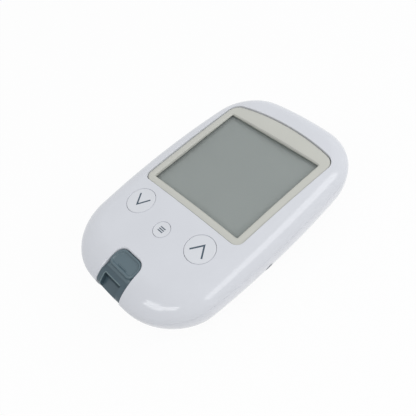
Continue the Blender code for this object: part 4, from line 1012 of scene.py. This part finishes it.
# Liquid crystal glass: two glasses with a grey-green reflective film behind them, switched off. The film
# has a fine grain and a faint cloud in its tone.
lcd_finish, film, film_shader, film_where = new_finish("grey-green reflective film under glass")
film_grain = noise(film, film_where, scale=5200.0)
film_cloud = noise(film, film_where, scale=28.0)
film_both = add_node(film, "ShaderNodeMath", {0: film_grain, 1: film_cloud}, operation="ADD")
film_tone = spread(film, film_both, 0.0, 1.0, start=0.6, stop=1.4)
film_tint = ramp(film, film_tone, [(0.0, shade((144, 151, 148), 0.97)), (1.0, shade((148, 155, 152), 1.03))])
film_gloss = spread(film, film_cloud, 0.28, 0.36)
feed(film, film_shader, {"Base Color": film_tint, "Roughness": film_gloss, "Specular IOR Level": 0.3})
repaint("lcd_panel", lcd_finish)


# Glass holder and elastomer strip: a light moulded tray carries the glass over the board, and a striped
# rubber strip along its near edge joins the glass's contacts to the board's.
repaint("lcd_holder", moulded("unpainted tray plastic", (196, 198, 196), 0.5, mottle=0.03))
zebra_finish = moulded("pink elastomer", (210, 150, 140), 0.75, mottle=0.04)
stripes = zebra_finish.node_tree
stripe_where = add_node(stripes, "ShaderNodeTexCoord").outputs["Object"]
stripe_wave = add_node(stripes, "ShaderNodeTexWave", {"Vector": stripe_where, "Scale": 900.0}).outputs[1]
stripe_tones = {0: stripe_wave, 6: shade((34, 32, 34)), 7: shade((214, 156, 146))}
stripe_mix = add_node(stripes, "ShaderNodeMix", stripe_tones, data_type="RGBA").outputs[2]
feed(stripes, stripes.nodes["Principled BSDF"], {"Base Color": stripe_mix})
repaint("zebra_strip", zebra_finish)


# Keys: three round caps of the case's white plastic, flush with the face and very slightly dished. Each
# has a retaining flange under the shell and a stem over its switch, and carries a printed mark.
KEY_ROUND = 0.00018
KEY_DISH = 0.00012
KEY_STEM_RADIUS = 0.0014
KEY_STEM_FOOT = 0.01940
KEY_FLANGE_GAP = 0.0003
KEY_FLANGE_REACH = 0.0011
KEY_FLANGE_DEPTH = 0.0007
MARK_STROKE = 0.00056
BAR_STROKE = 0.00036
BAR_PITCH = 0.00072
BAR_REACH = 0.00115
MARK_LIFTS = (0.000022, 0.000022, -0.00006, -0.00006)
MARK_STEPS = 14
KEY_MARKS = {
    "down": [[(-0.01762, -0.01712), (-0.0150, -0.02112), (-0.01238, -0.01712)]],
    "up": [[(0.01238, -0.02132), (0.0151, -0.01737), (0.01782, -0.02132)]],
    "middle": [
        [(-BAR_REACH, -0.02247 + up), (BAR_REACH, -0.02247 + up)] for up in (BAR_PITCH, 0.0, -BAR_PITCH)
    ],
}
key_white = moulded("glossy white key plastic", (224, 226, 231), 0.20, grain_depth=0.000002, mottle=0.012)
mark_ink = moulded("slate printing ink", (68, 84, 98), 0.5, grain_depth=0.000008, mottle=0.05)


def key_top(x, y, middle_x, middle_y, radius):
    out = math.hypot(x - middle_x, y - middle_y) / (radius - KEY_ROUND)
    return crown(x, y) - KEY_DISH * max(1.0 - out**2, 0.0)


def stroke(name, path, width, height_at):
    """A printed line of even width along a path in plan, lying on a surface."""
    fine = []
    for start, stop in zip(path, path[1:]):
        fine.extend(Vector(start).lerp(Vector(stop), piece / MARK_STEPS) for piece in range(MARK_STEPS))
    fine.append(Vector(path[-1]))
    rings = []
    for index, spot in enumerate(fine):
        before = (spot - fine[index - 1]).normalized() if index else (fine[1] - spot).normalized()
        after = (fine[index + 1] - spot).normalized() if index + 1 < len(fine) else before
        along = (before + after).normalized()
        square = Vector((-along.y, along.x))
        half = width / 2 / max(along.dot(before), 0.3)
        left, right = spot + square * half, spot - square * half
        sides = zip((left, right, right, left), MARK_LIFTS)
        rings.append([(side.x, side.y, height_at(side.x, side.y) + lift) for side, lift in sides])
    return loft(name, rings)


def merged(things):
    """Several mesh objects as one."""
    shape = bmesh.new()
    for thing in things:
        shape.from_mesh(thing.data)
        bpy.data.objects.remove(thing)
    mesh = bpy.data.meshes.new("merged")
    shape.to_mesh(mesh)
    shape.free()
    return put("merged", mesh)


for key, x, y, radius in KEYS:
    flange_top = crown(abs(x) + radius, abs(y) + radius) - CASE_WALL - KEY_FLANGE_GAP
    flange_foot = flange_top - KEY_FLANGE_DEPTH
    flange_radius = radius + KEY_FLANGE_REACH
    profile = [(KEY_STEM_RADIUS, KEY_STEM_FOOT, None), (KEY_STEM_RADIUS, flange_foot, None)]
    profile += [(flange_radius, flange_foot, None), (flange_radius, flange_top, None)]
    profile.append((radius, flange_top, None))
    profile += [(radius - inset, None, drop) for inset, drop in rounded_edge(KEY_ROUND, 5)]
    profile += [((radius - KEY_ROUND) * share, None, 0.0) for share in (0.85, 0.7, 0.5, 0.3, 0.12)]
    rings = []
    for ring_radius, level, drop in profile:
        ring = []
        for a, b in round_ring(ring_radius, KEY_SIDES, (x, y)):
            ring.append((a, b, level if drop is None else key_top(a, b, x, y, radius) - drop))
        rings.append(ring)
    cap = loft(f"{key}_key_rough", rings)
    finished(cap, f"{key}_key_cap", f"{key}_key", key_white, [f"{key}_button"])
    width = BAR_STROKE if key == "middle" else MARK_STROKE
    lines = [
        stroke(f"{key} line {index}", path, width, lambda a, b: key_top(a, b, x, y, radius))
        for index, path in enumerate(KEY_MARKS[key])
    ]
    finished(merged(lines), f"{key}_key_mark", f"{key}_key", mark_ink)


# Key switches: small tact switches on the board, moulded in black, one under the stem of each key.
switch_finish = moulded("black switch moulding", (40, 42, 46), 0.5, mottle=0.05)
for key in ("down", "middle", "up"):
    repaint(f"switch_{key}", switch_finish)


# Strip port: a blue-grey moulding let into the end of the case. Two cheeks stand beside the mouth, where
# a ramp leads the test strip in under a lip and through a flat passage to the connector.
NOSE_INSET = 0.00035
NOSE_BOTTOM = 0.0124
NOSE_BACK = -0.0378
ABOVE_CASE = 0.027
ROOM_HALF_WIDTH = 0.009
ROOM_BACK = PORT_BACK_EDGE + 0.002
DECK_HEIGHT = 0.0213
DECK_DIP = 0.00022
DECK_DIP_LENGTH = 0.0020
DECK_DIP_START = 0.0003
DECK_BACK_EDGE = -0.0419
TAIL_ROOM_HALF_WIDTH = 0.0053
TAIL_ROOM_FLOOR = 0.0206
WING_X, WING_Y, WING_Z = (-0.0088, 0.0088), (-0.0402, -0.03795), (0.0168, 0.0198)
MOUTH_BACK_EDGE = -0.0439
MOUTH_HALF_WIDTH = 0.0040
MOUTH_OUTSIDE = -0.050
MOUTH_INNER_EDGE = -0.0418
RAMP_FOOT = 0.0145
RAMP_TOP_EDGE = -0.0446
LIP_DEPTH = 0.0004
SLOT_HALF_WIDTH = 0.0036
SLOT_FLOOR = 0.0190
SLOT_ROOF = 0.0202
SLOT_Y = (-0.0421, -0.0358)
PORT_GAP = 0.00008
# The port moulding's own blue-grey, painted darker than the slider's as shade for the saddle in front of the
# pad and the floor of the mouth.
slate = moulded("satin blue-grey port plastic with painted shade", (72, 90, 99), 0.36, grain_depth=0.000014, mottle=0.03)
nose = prism("nose_rough", port_outline(-PORT_GAP), (NOSE_BOTTOM, ABOVE_CASE))
joined(nose, case_core("nose form", NOSE_INSET), "INTERSECT")
room = (-ROOM_HALF_WIDTH, ROOM_HALF_WIDTH)
tail_room = (-TAIL_ROOM_HALF_WIDTH, TAIL_ROOM_HALF_WIDTH)
cut(nose, block("behind nose", room, (NOSE_BACK, ROOM_BACK), (0.0, ABOVE_CASE)))
cut(nose, block("slider room", room, (DECK_BACK_EDGE, ROOM_BACK), (DECK_HEIGHT, ABOVE_CASE)))
cut(nose, block("tail room", tail_room, (DECK_BACK_EDGE, ROOM_BACK), (TAIL_ROOM_FLOOR, ABOVE_CASE)))
scoop_rings = []
for step in range(17):
    across = -ROOM_HALF_WIDTH + 2 * ROOM_HALF_WIDTH * step / 16
    profile = []
    for share in [index / 12 for index in range(13)]:
        y = MOUTH_BACK_EDGE - DECK_DIP_START + DECK_DIP_LENGTH * share
        profile.append((across, y, DECK_HEIGHT - DECK_DIP * math.sin(math.pi * share)))
    profile += [(across, ROOM_BACK, DECK_HEIGHT), (across, ROOM_BACK, ABOVE_CASE)]
    profile.append((across, profile[0][1], ABOVE_CASE))
    scoop_rings.append(profile)
cut(nose, loft("scoop", scoop_rings))
joined(nose, block("wings", WING_X, WING_Y, WING_Z), "UNION")
mouth_profile = [(MOUTH_OUTSIDE, RAMP_FOOT), (RAMP_TOP_EDGE, SLOT_FLOOR), (MOUTH_INNER_EDGE, SLOT_FLOOR)]
mouth_profile += [(MOUTH_INNER_EDGE, SLOT_ROOF), (MOUTH_BACK_EDGE, DECK_HEIGHT - LIP_DEPTH)]
mouth_profile += [(MOUTH_BACK_EDGE, ABOVE_CASE), (MOUTH_OUTSIDE, ABOVE_CASE)]
mouth = [[(x, y, z) for y, z in mouth_profile] for x in (-MOUTH_HALF_WIDTH, MOUTH_HALF_WIDTH)]
cut(nose, loft("strip mouth", mouth))
cut(nose, block("passage", (-SLOT_HALF_WIDTH, SLOT_HALF_WIDTH), SLOT_Y, (SLOT_FLOOR, SLOT_ROOF)))
finished(nose, "port_housing_skin", "case", slate, ["port_housing"])


# Ejector slider: a dished thumb pad with a raised rim and a short ridge across its foot. A tail under the
# case carries the lug that its spring pushes on and the finger that pushes the strip out.
PAD_FRONT_EDGE = -0.0412
PAD_FRONT_CORNER = 0.0022
PAD_LEAST_CORNER = 0.0006
PAD_FLARE = 0.0010
PAD_GAP = 0.00012
PAD_EDGE = 0.0005
PAD_WALL = 0.0008
PAD_DISH = 0.00062
PAD_BOTTOM = 0.0214
PAD_DROP = 0.0005
RIDGE_Y = -0.0397
RIDGE_HALF_LENGTH = 0.0022
RIDGE_THICKNESS = 0.00022
# name and the reach of each block in x, y and z
SLIDER_BLOCKS = (
    ("tail", (-0.0052, 0.0052), (-0.0385, -0.0300), (0.02095, 0.02155)),
    ("arm", (0.0032, 0.0088), (-0.0324, -0.0300), (0.02095, 0.02145)),
    ("lug", (0.0062, 0.0088), (-0.0312, -0.0300), (0.0172, 0.02125)),
    ("finger", (-0.0010, 0.0010), (-0.0312, -0.0300), (0.0193, 0.02125)),
)
pad_slate = moulded("satin blue-grey slider plastic", (92, 110, 118), 0.26, grain_depth=0.000014, mottle=0.03)


def pad_outline(inset=0.0, flare=0.0):
    near = PAD_FRONT_EDGE + inset - flare
    half = PORT_HALF_WIDTH - PAD_GAP - inset
    wide = half + port_spread(near)
    near_corner = max(PAD_FRONT_CORNER - inset - flare * 1.4, PAD_LEAST_CORNER)
    far_corner = max(PORT_BACK_CORNER - PAD_GAP - inset, PAD_LEAST_CORNER)
    far = PORT_BACK_EDGE - PAD_GAP - inset
    near_end = [(-wide, near, near_corner), (wide, near, near_corner)]
    return rounded(near_end + [(half, far, far_corner), (-half, far, far_corner)], steps=12)


def pad_top(x, y, drop):
    return crown(x, y) - PAD_DROP - drop


pad_rings = []
for rise, flare in rounded_edge(1.0, 8):
    row = []
    for x, y in pad_outline(flare=PAD_FLARE * flare):
        row.append((x, y, PAD_BOTTOM + (pad_top(x, y, PAD_EDGE) - PAD_BOTTOM) * rise))
    pad_rings.append(row)
pad_rows = rounded_edge(PAD_EDGE, 5)
for share in [step / 8 for step in range(1, 9)]:
    pad_rows.append((PAD_EDGE * 1.1 + PAD_WALL * share, PAD_DISH * (1 - math.cos(math.pi * share)) / 2))
for inset, drop in pad_rows:
    pad_rings.append([(x, y, pad_top(x, y, drop)) for x, y in pad_outline(inset)])
slider = loft("slider_rough", pad_rings)
ridge_rings = []
for share in [step / 24 for step in range(25)]:
    x = -RIDGE_HALF_LENGTH + 2 * RIDGE_HALF_LENGTH * share
    thick = RIDGE_THICKNESS * math.sqrt(max(1 - (2 * share - 1) ** 8, 0.03))
    height = pad_top(x, RIDGE_Y, PAD_DISH)
    ridge_rings.append([(x, RIDGE_Y + a, height + b) for a, b in round_ring(thick, 12)])
joined(slider, loft("ridge", ridge_rings), "UNION")
for name, x, y, z in SLIDER_BLOCKS:
    joined(slider, block(name, x, y, z), "UNION")
finished(slider, "ejector_slider_skin", "slider", pad_slate, ["ejector_slider"])


# Mouth collar: a thin raised bead on the port moulding, round the left side and the roof of the mouth. It
# stiffens the edge that the test strip is pushed against.
BEAD_RADIUS = 0.0002
BEAD_INSET = 0.0001
BEAD_SINK = 0.00005
BEAD_SIDE_START, BEAD_SIDE_STEP = -0.0475, 0.0005
BEAD_ROOF_START, BEAD_ROOF_STEP = -0.0038, 0.00095
# Painted highlight: the bead's blue-grey is lighter than the port moulding's, so that the rim of the mouth
# reads as lit.
collar_highlight_slate = moulded("blue-grey bead plastic with painted highlight", (108, 126, 131), 0.3, grain_depth=0.00001, mottle=0.05)


def tube(recipe, path, radius, sides):
    """A round bar along a path, closed at its ends."""
    section = recipe.node("GeometryNodeCurvePrimitiveCircle", {"Resolution": sides, "Radius": radius})
    return recipe.node("GeometryNodeCurveToMesh", {"Curve": path, "Profile Curve": section, "Fill Caps": True})


bead_path = [(-MOUTH_HALF_WIDTH - BEAD_INSET, BEAD_SIDE_START + BEAD_SIDE_STEP * step) for step in range(7)]
bead_path += [(BEAD_ROOF_START + BEAD_ROOF_STEP * step, MOUTH_BACK_EDGE - BEAD_INSET) for step in range(9)]
bead_spots = []
for x, y in bead_path:
    bead_spots.append((x, y, min(face_height(x, y) - NOSE_INSET, DECK_HEIGHT) - BEAD_SINK))
bead = Recipe("bead along a path")
bead_size = bead.size("Bead radius", BEAD_RADIUS)
bead_smooth = bead.node("GeometryNodeCurveSplineType", {"Curve": bead.source.outputs[0]}, spline_type="BEZIER")
bead_soft = bead.node("GeometryNodeCurveSetHandles", {"Curve": bead_smooth}, handle_type="AUTO")
bead_even = bead.node("GeometryNodeResampleCurve", {"Curve": bead_soft, "Count": 90})
bead.finish(tube(bead, bead_even, bead_size, 12), collar_highlight_slate)
collar = bead.grow("mouth_collar_rough", wire("bead path", bead_spots))
finished(collar, "mouth_collar", "case", collar_highlight_slate)


# Ejector spring and battery springs: coils of bright steel wire. The ejector spring pushes the slider
# back, and the cone-shaped ones press the flat ends of the cells.
CELL_Z = 0.00755
CELL_OFFSET = 0.0056
# name, foot of the spring, first and last radius, length, radius of the wire and turns
SPRINGS = (
    ("ejector_spring", 0.0075, -0.03766, 0.0185, 0.00096, 0.00096, 0.00617, 0.00014, 6.0),
    ("battery_spring_1", -CELL_OFFSET, -0.01965, CELL_Z, 0.0030, 0.0016, 0.0027, 0.00025, 3.0),
    ("battery_spring_2", CELL_OFFSET, 0.02615, CELL_Z, 0.0016, 0.0030, 0.0027, 0.00025, 3.0),
)


def bright_metal(name, colour, roughness, grain):
    """Drawn or rolled metal: fine streaks in its gloss and faint stains in its colour."""
    made, tree, shader, where = new_finish(name)
    stretch = add_node(tree, "ShaderNodeMapping", {"Vector": where, "Scale": (1.0, grain, 1.0)})
    streak = noise(tree, stretch, scale=2200.0, detail=3.0)
    stain = noise(tree, where, scale=500.0, detail=3.0)
    tint = ramp(tree, stain, [(0.3, shade(colour, 0.88)), (0.7, shade(colour, 1.06))])
    gloss = spread(tree, streak, roughness * 0.7, roughness * 1.4)
    lines = relief(tree, streak, 0.000004, strength=0.4)
    feed(tree, shader, {"Metallic": 1.0, "Base Color": tint, "Roughness": gloss, "Normal": lines})
    return made


spring_steel = bright_metal("bright spring wire", (182, 184, 188), 0.24, 0.3)
for name, x, y, z, first_radius, last_radius, length, wire_radius, turns in SPRINGS:
    coil = Recipe(f"{name} coil")
    spiral_sizes = {
        "Resolution": 40,
        "Rotations": coil.size("Turns", turns),
        "Start Radius": coil.size("First radius", first_radius),
        "End Radius": coil.size("Last radius", last_radius),
        "Height": coil.size("Length", length),
        "Reverse": False,
    }
    spiral = coil.node("GeometryNodeCurveSpiral", spiral_sizes)
    lying = {"Geometry": spiral, "Translation": (x, y, z), "Rotation": (-math.pi / 2, 0.0, 0.0)}
    laid = coil.node("GeometryNodeTransform", lying)
    coil.finish(tube(coil, laid, coil.size("Wire radius", wire_radius), 12), spring_steel)
    wound = finished(coil.grow(f"{name}_rough"), f"{name}_wire", "case", spring_steel, [name])
    if name == "ejector_spring":
        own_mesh(wound)


# Battery cells: two AAA cells, nose to tail. Each is a drawn steel can with a raised nub at its positive
# end, in a shrunk plastic sleeve with one broad copper-coloured band and plain dark blue elsewhere.
CELL_RADIUS = 0.00525
CELL_SIDES = 72
CAN_PROFILE = (
    [(0.0006, 0.00002), (0.0030, 0.00002), (0.0034, 0.0002), (0.0046, 0.0002), (0.00495, 0.0005)]
    + [(0.00505, 0.0010), (0.00505, 0.0428), (0.0048, 0.0434), (0.0042, 0.0435), (0.0022, 0.0434)]
    + [(0.0019, 0.0436), (0.0019, 0.0443), (0.0017, 0.0445), (0.0006, 0.04451)]
)
SLEEVE_PROFILE = (
    [(0.0042, 0.00012), (0.0050, 0.00014), (0.00518, 0.0004), (CELL_RADIUS, 0.0008)]
    + [(CELL_RADIUS, 0.0425), (0.00520, 0.0432), (0.0048, 0.04358), (0.0040, 0.04366)]
    + [(0.0040, 0.0434), (0.0050, 0.0427), (0.0050, 0.0006), (0.0042, 0.0003)]
)
can_steel = bright_metal("nickel-plated can", (196, 198, 200), 0.22, 1.0)
sleeve, wrap, wrap_shader, wrap_where = new_finish("shrunk sleeve")
wrap_along = add_node(wrap, "ShaderNodeSeparateXYZ", {0: wrap_where}).outputs[1]
wrap_band = spread(wrap, wrap_along, 0.0, 1.0, start=-0.0170, stop=0.0280)
wrap_blue = shade((46, 58, 84))
wrap_tint = ramp(wrap, wrap_band, [(0.0, wrap_blue), (0.66, shade((176, 122, 84))), (0.90, wrap_blue)])
wrap_tint.color_ramp.interpolation = "CONSTANT"
wrap_noise = noise(wrap, wrap_where, scale=700.0, detail=3.0)
wrap_gloss = spread(wrap, wrap_noise, 0.22, 0.34)
wrap_bump = relief(wrap, wrap_noise, 0.00001, strength=0.3)
feed(wrap, wrap_shader, {"Base Color": wrap_tint, "Roughness": wrap_gloss, "Normal": wrap_bump})


def cell_rings(profile, x, foot, way):
    rings = []
    for radius, along in profile:
        rings.append([(x + a, foot + way * along, CELL_Z + b) for a, b in round_ring(radius, CELL_SIDES)])
    return rings


for index, x, foot, way in ((1, -CELL_OFFSET, -0.0164, 1.0), (2, CELL_OFFSET, 0.0253, -1.0)):
    can = loft(f"cell {index} can", cell_rings(CAN_PROFILE, x, foot, way))
    finished(can, f"cell_{index}_can", "case", can_steel, [f"cell_{index}"])
    cover = loft(f"cell {index} cover", cell_rings(SLEEVE_PROFILE, x, foot, way), looped=True)
    finished(cover, f"cell_{index}_sleeve", "case", sleeve)


# Battery plates: flat nickel-plated contacts at the ends of the bay, each pressed with a round dimple that
# meets the nub of a cell.
PLATE_X = (-0.0036, 0.0036)
PLATE_Z = (-0.00375, 0.00375)
PLATE_CORNER = 0.0006
PLATE_THICK = 0.0002
PLATE_ROWS = ((1.0, -1.0), (1.0, 0.8), (0.97, 1.0), (0.45, 1.0), (0.38, 1.6), (0.2, 2.0), (0.05, 2.0))
plate_outline = rounded(oblong(PLATE_X, PLATE_Z, PLATE_CORNER), between=PLATE_CORNER)
for index, x, y, way in ((1, -CELL_OFFSET, 0.02905, -1.0), (2, CELL_OFFSET, -0.01985, 1.0)):
    plate_rings = []
    for share, out in PLATE_ROWS:
        level = y + way * (PLATE_THICK * out)
        plate_rings.append([(x + a * share, level, CELL_Z + b * share) for a, b in plate_outline])
    name = f"battery_plate_{index}"
    finished(loft(f"plate {index}", plate_rings), f"{name}_pressed", "case", can_steel, [name])


# Battery door: a flat cover in the case's plastic with a hinge barrel and two pins at one end, a latch at
# the other, and a shallow thumb rest with raised ribs to push it open.
DOOR_EDGE = [(0.00045, 0.0), (0.00018, 0.00008), (0.00004, 0.00026), (0.0, 0.0005)]
PIN_RADIUS = 0.0007
PIN_END = 0.0131
LATCH_X, LATCH_Y, LATCH_Z = (-0.0016, 0.0016), (-0.0199, -0.0189), (0.0010, 0.00555)
REST_HALF_WIDTH = 0.0052
REST_Y = (-0.0196, -0.0116)
REST_MIDDLE = -0.0156
REST_CORNER = 0.0016
REST_ROWS = ((-0.0004, -0.0010), (0.0, 0.0), (0.0003, 0.00038), (0.0007, 0.00045))
RIB_COUNT = 6
RIB_PITCH = 0.0011
RIB_LENGTH = 0.0090
RIB_RADIUS = 0.00026
RIB_START = (0.0, -0.01835, DOOR_BOTTOM + 0.00045)
door_white = moulded("matt white door plastic", (220, 222, 227), 0.30, grain_depth=0.000014, mottle=0.012)
door_rows = DOOR_EDGE + [(0.0, DOOR_TOP - DOOR_BOTTOM)]
door = loft("door_rough", [at_height(door_outline(-inset), DOOR_BOTTOM + up) for inset, up in door_rows])
barrel_profile = [(PIN_RADIUS, -PIN_END), (PIN_RADIUS, -DOOR_HALF_WIDTH), (HINGE_RADIUS, -DOOR_HALF_WIDTH)]
barrel_profile += [(radius, -along) for radius, along in reversed(barrel_profile)]
joined(door, turned("barrel", barrel_profile, axis="X", centre=(0.0, HINGE_Y, HINGE_Z)), "UNION")
joined(door, block("latch", LATCH_X, LATCH_Y, LATCH_Z), "UNION")
rest_ring = rounded(oblong((-REST_HALF_WIDTH, REST_HALF_WIDTH), REST_Y, REST_CORNER))
rest_rings = []
for inset, up in REST_ROWS:
    shrink = 1 - inset / REST_HALF_WIDTH
    level = DOOR_BOTTOM + up
    rest_rings.append([(x * shrink, REST_MIDDLE + (y - REST_MIDDLE) * shrink, level) for x, y in rest_ring])
cut(door, loft("thumb rest", rest_rings))
finished(door, "battery_door_cover", "door", door_white, ["battery_door"])
ribs = Recipe("door ribs")
rib_count = ribs.size("Ribs", RIB_COUNT)
rib_pitch = ribs.size("Pitch", RIB_PITCH)
rib_length = ribs.size("Length", RIB_LENGTH)
rib_radius = ribs.size("Rib radius", RIB_RADIUS)
rib_steps = {"Count": rib_count, "Start Location": RIB_START, "Offset": ribs.place(0.0, rib_pitch, 0.0)}
rib_row = ribs.node("GeometryNodeMeshLine", rib_steps)
rib_ends = {"Start": ribs.place(rib_length * -0.5, 0.0, 0.0), "End": ribs.place(rib_length * 0.5, 0.0, 0.0)}
rib_bar = tube(ribs, ribs.node("GeometryNodeCurvePrimitiveLine", rib_ends), rib_radius, 14)
ribs.finish(ribs.node("GeometryNodeInstanceOnPoints", {"Points": rib_row, "Instance": rib_bar}), door_white)
finished(ribs.grow("door_ribs_rough"), "battery_door_ribs", "door", door_white)


# Case screws and board screws: zinc-plated steel, self-tapping, with a cross recess. Four hold the case
# halves together from the back, and two hold the board to its posts.
HEAD_TAPER = 0.72
SHANK_RADIUS = 0.0007
THREAD_RADII = (0.00074, 0.00066)
THREAD_DEPTH = 0.00015
THREAD_TURNS = 9.0
THREAD_SHARE = 0.86
THREAD_START = 0.07
RECESS_ARMS = ((0.62, 0.17), (0.17, 0.62))
RECESS_DEPTH = 1.1
RECESS_TURN = 0.4
screw_zinc = bright_metal("zinc-plated screw steel", (158, 160, 164), 0.34, 1.0)


def screws(name, places, seat, upside_down, head_radius, head_height, length):
    """All screws of a kind as one mesh: heads, threads and cross recesses repeated at their places."""
    recipe = Recipe(name)
    radius = recipe.size("Head radius", head_radius)
    height = recipe.size("Head height", head_height)
    reach = recipe.size("Length", length)
    turns = recipe.size("Thread turns", THREAD_TURNS)
    counts = {"Vertices": 40, "Side Segments": 3, "Fill Segments": 2}
    cone = {**counts, "Radius Top": radius, "Radius Bottom": radius * HEAD_TAPER, "Depth": height}
    head = recipe.node("GeometryNodeMeshCone", cone)
    rod = {"Vertices": 20, "Radius": SHANK_RADIUS, "Depth": reach, "Side Segments": 2}
    shank = recipe.node("GeometryNodeMeshCylinder", rod)
    above_head = recipe.place(0.0, 0.0, reach * 0.5 + height)
    raised = recipe.node("GeometryNodeTransform", {"Geometry": shank, "Translation": above_head})
    start, end = THREAD_RADII
    winding = {"Resolution": 18, "Rotations": turns, "Start Radius": start, "End Radius": end}
    thread = recipe.node("GeometryNodeCurveSpiral", {**winding, "Height": reach * THREAD_SHARE})
    wound = tube(recipe, thread, THREAD_DEPTH, 6)
    first_turn = recipe.place(0.0, 0.0, height + reach * THREAD_START)
    lifted = recipe.node("GeometryNodeTransform", {"Geometry": wound, "Translation": first_turn})
    recess = recipe.node("GeometryNodeMeshBoolean", {0: head}, operation="DIFFERENCE", solver="EXACT")
    for wide, deep in RECESS_ARMS:
        arm_size = recipe.place(radius * 2.0 * wide, radius * 2.0 * deep, height * RECESS_DEPTH)
        feed(recipe.tree, recess, {1: recipe.node("GeometryNodeMeshCube", {"Size": arm_size})})
    whole = recipe.together([recess, raised, lifted])
    turn = (math.pi if upside_down else 0.0, 0.0, RECESS_TURN)
    set_out = {"Points": recipe.source.outputs[0], "Instance": whole, "Rotation": turn}
    recipe.finish(recipe.node("GeometryNodeInstanceOnPoints", set_out), screw_zinc)
    spots = bpy.data.meshes.new(f"{name} places")
    spots.from_pydata([(x, y, seat) for x, y in places], [], [])
    return recipe.grow(f"{name}_rough", put(f"{name} places", spots))


case_screws = screws("case screws", CASE_SCREWS, 0.0067, False, 0.0022, 0.0015, 0.0075)
case_screw_nodes = [f"case_screw_{number}" for number in range(1, 5)]
finished(case_screws, "case_screws", "case", screw_zinc, case_screw_nodes)
board_screws = screws("board screws", BOARD_SCREWS, 0.01695, True, 0.0018, 0.0010, 0.0050)
finished(board_screws, "board_screws", "case", screw_zinc, ["board_screw_1", "board_screw_2"])


# Strip connector and contacts: a black moulding on the board with a slot for the strip, and four gilt
# blades stamped from thin strip, bowed to press on the strip's printed tracks.
repaint("strip_connector", switch_finish)
gilt = bright_metal("gilt contact strip", (214, 180, 112), 0.22, 0.2)
for index in range(1, 5):
    repaint(f"strip_contact_{index}", gilt)


# Data jack: a black moulded socket under the board whose round mouth shows through the hole in the flank.
jack_black = moulded("black jack plastic", (36, 38, 42), 0.42, mottle=0.05)
repaint("data_jack", jack_black)


# Circuit board: glass-fibre laminate under green solder mask, with copper tracks showing through, and on it
# a black chip and, below it, a round buzzer.
laminate, mask, mask_shader, mask_where = new_finish("green solder mask")
mask_tones = {"Color1": shade((36, 90, 60)), "Color2": shade((40, 98, 66)), "Mortar": shade((48, 106, 72))}
mask_grid = {"Vector": mask_where, "Scale": 320.0, "Mortar Size": 0.035}
tracks = add_node(mask, "ShaderNodeTexBrick", {**mask_grid, **mask_tones}).outputs
mask_bump = relief(mask, tracks["Fac"], 0.00003, strength=0.4)
mask_gloss = spread(mask, noise(mask, mask_where, scale=900.0), 0.24, 0.38)
feed(mask, mask_shader, {"Base Color": tracks["Color"], "Roughness": mask_gloss, "Normal": mask_bump})
repaint("circuit_board", laminate)
repaint("processor_chip", moulded("black chip epoxy", (34, 35, 38), 0.6, grain_depth=0.00002, mottle=0.08))
repaint("buzzer", jack_black)
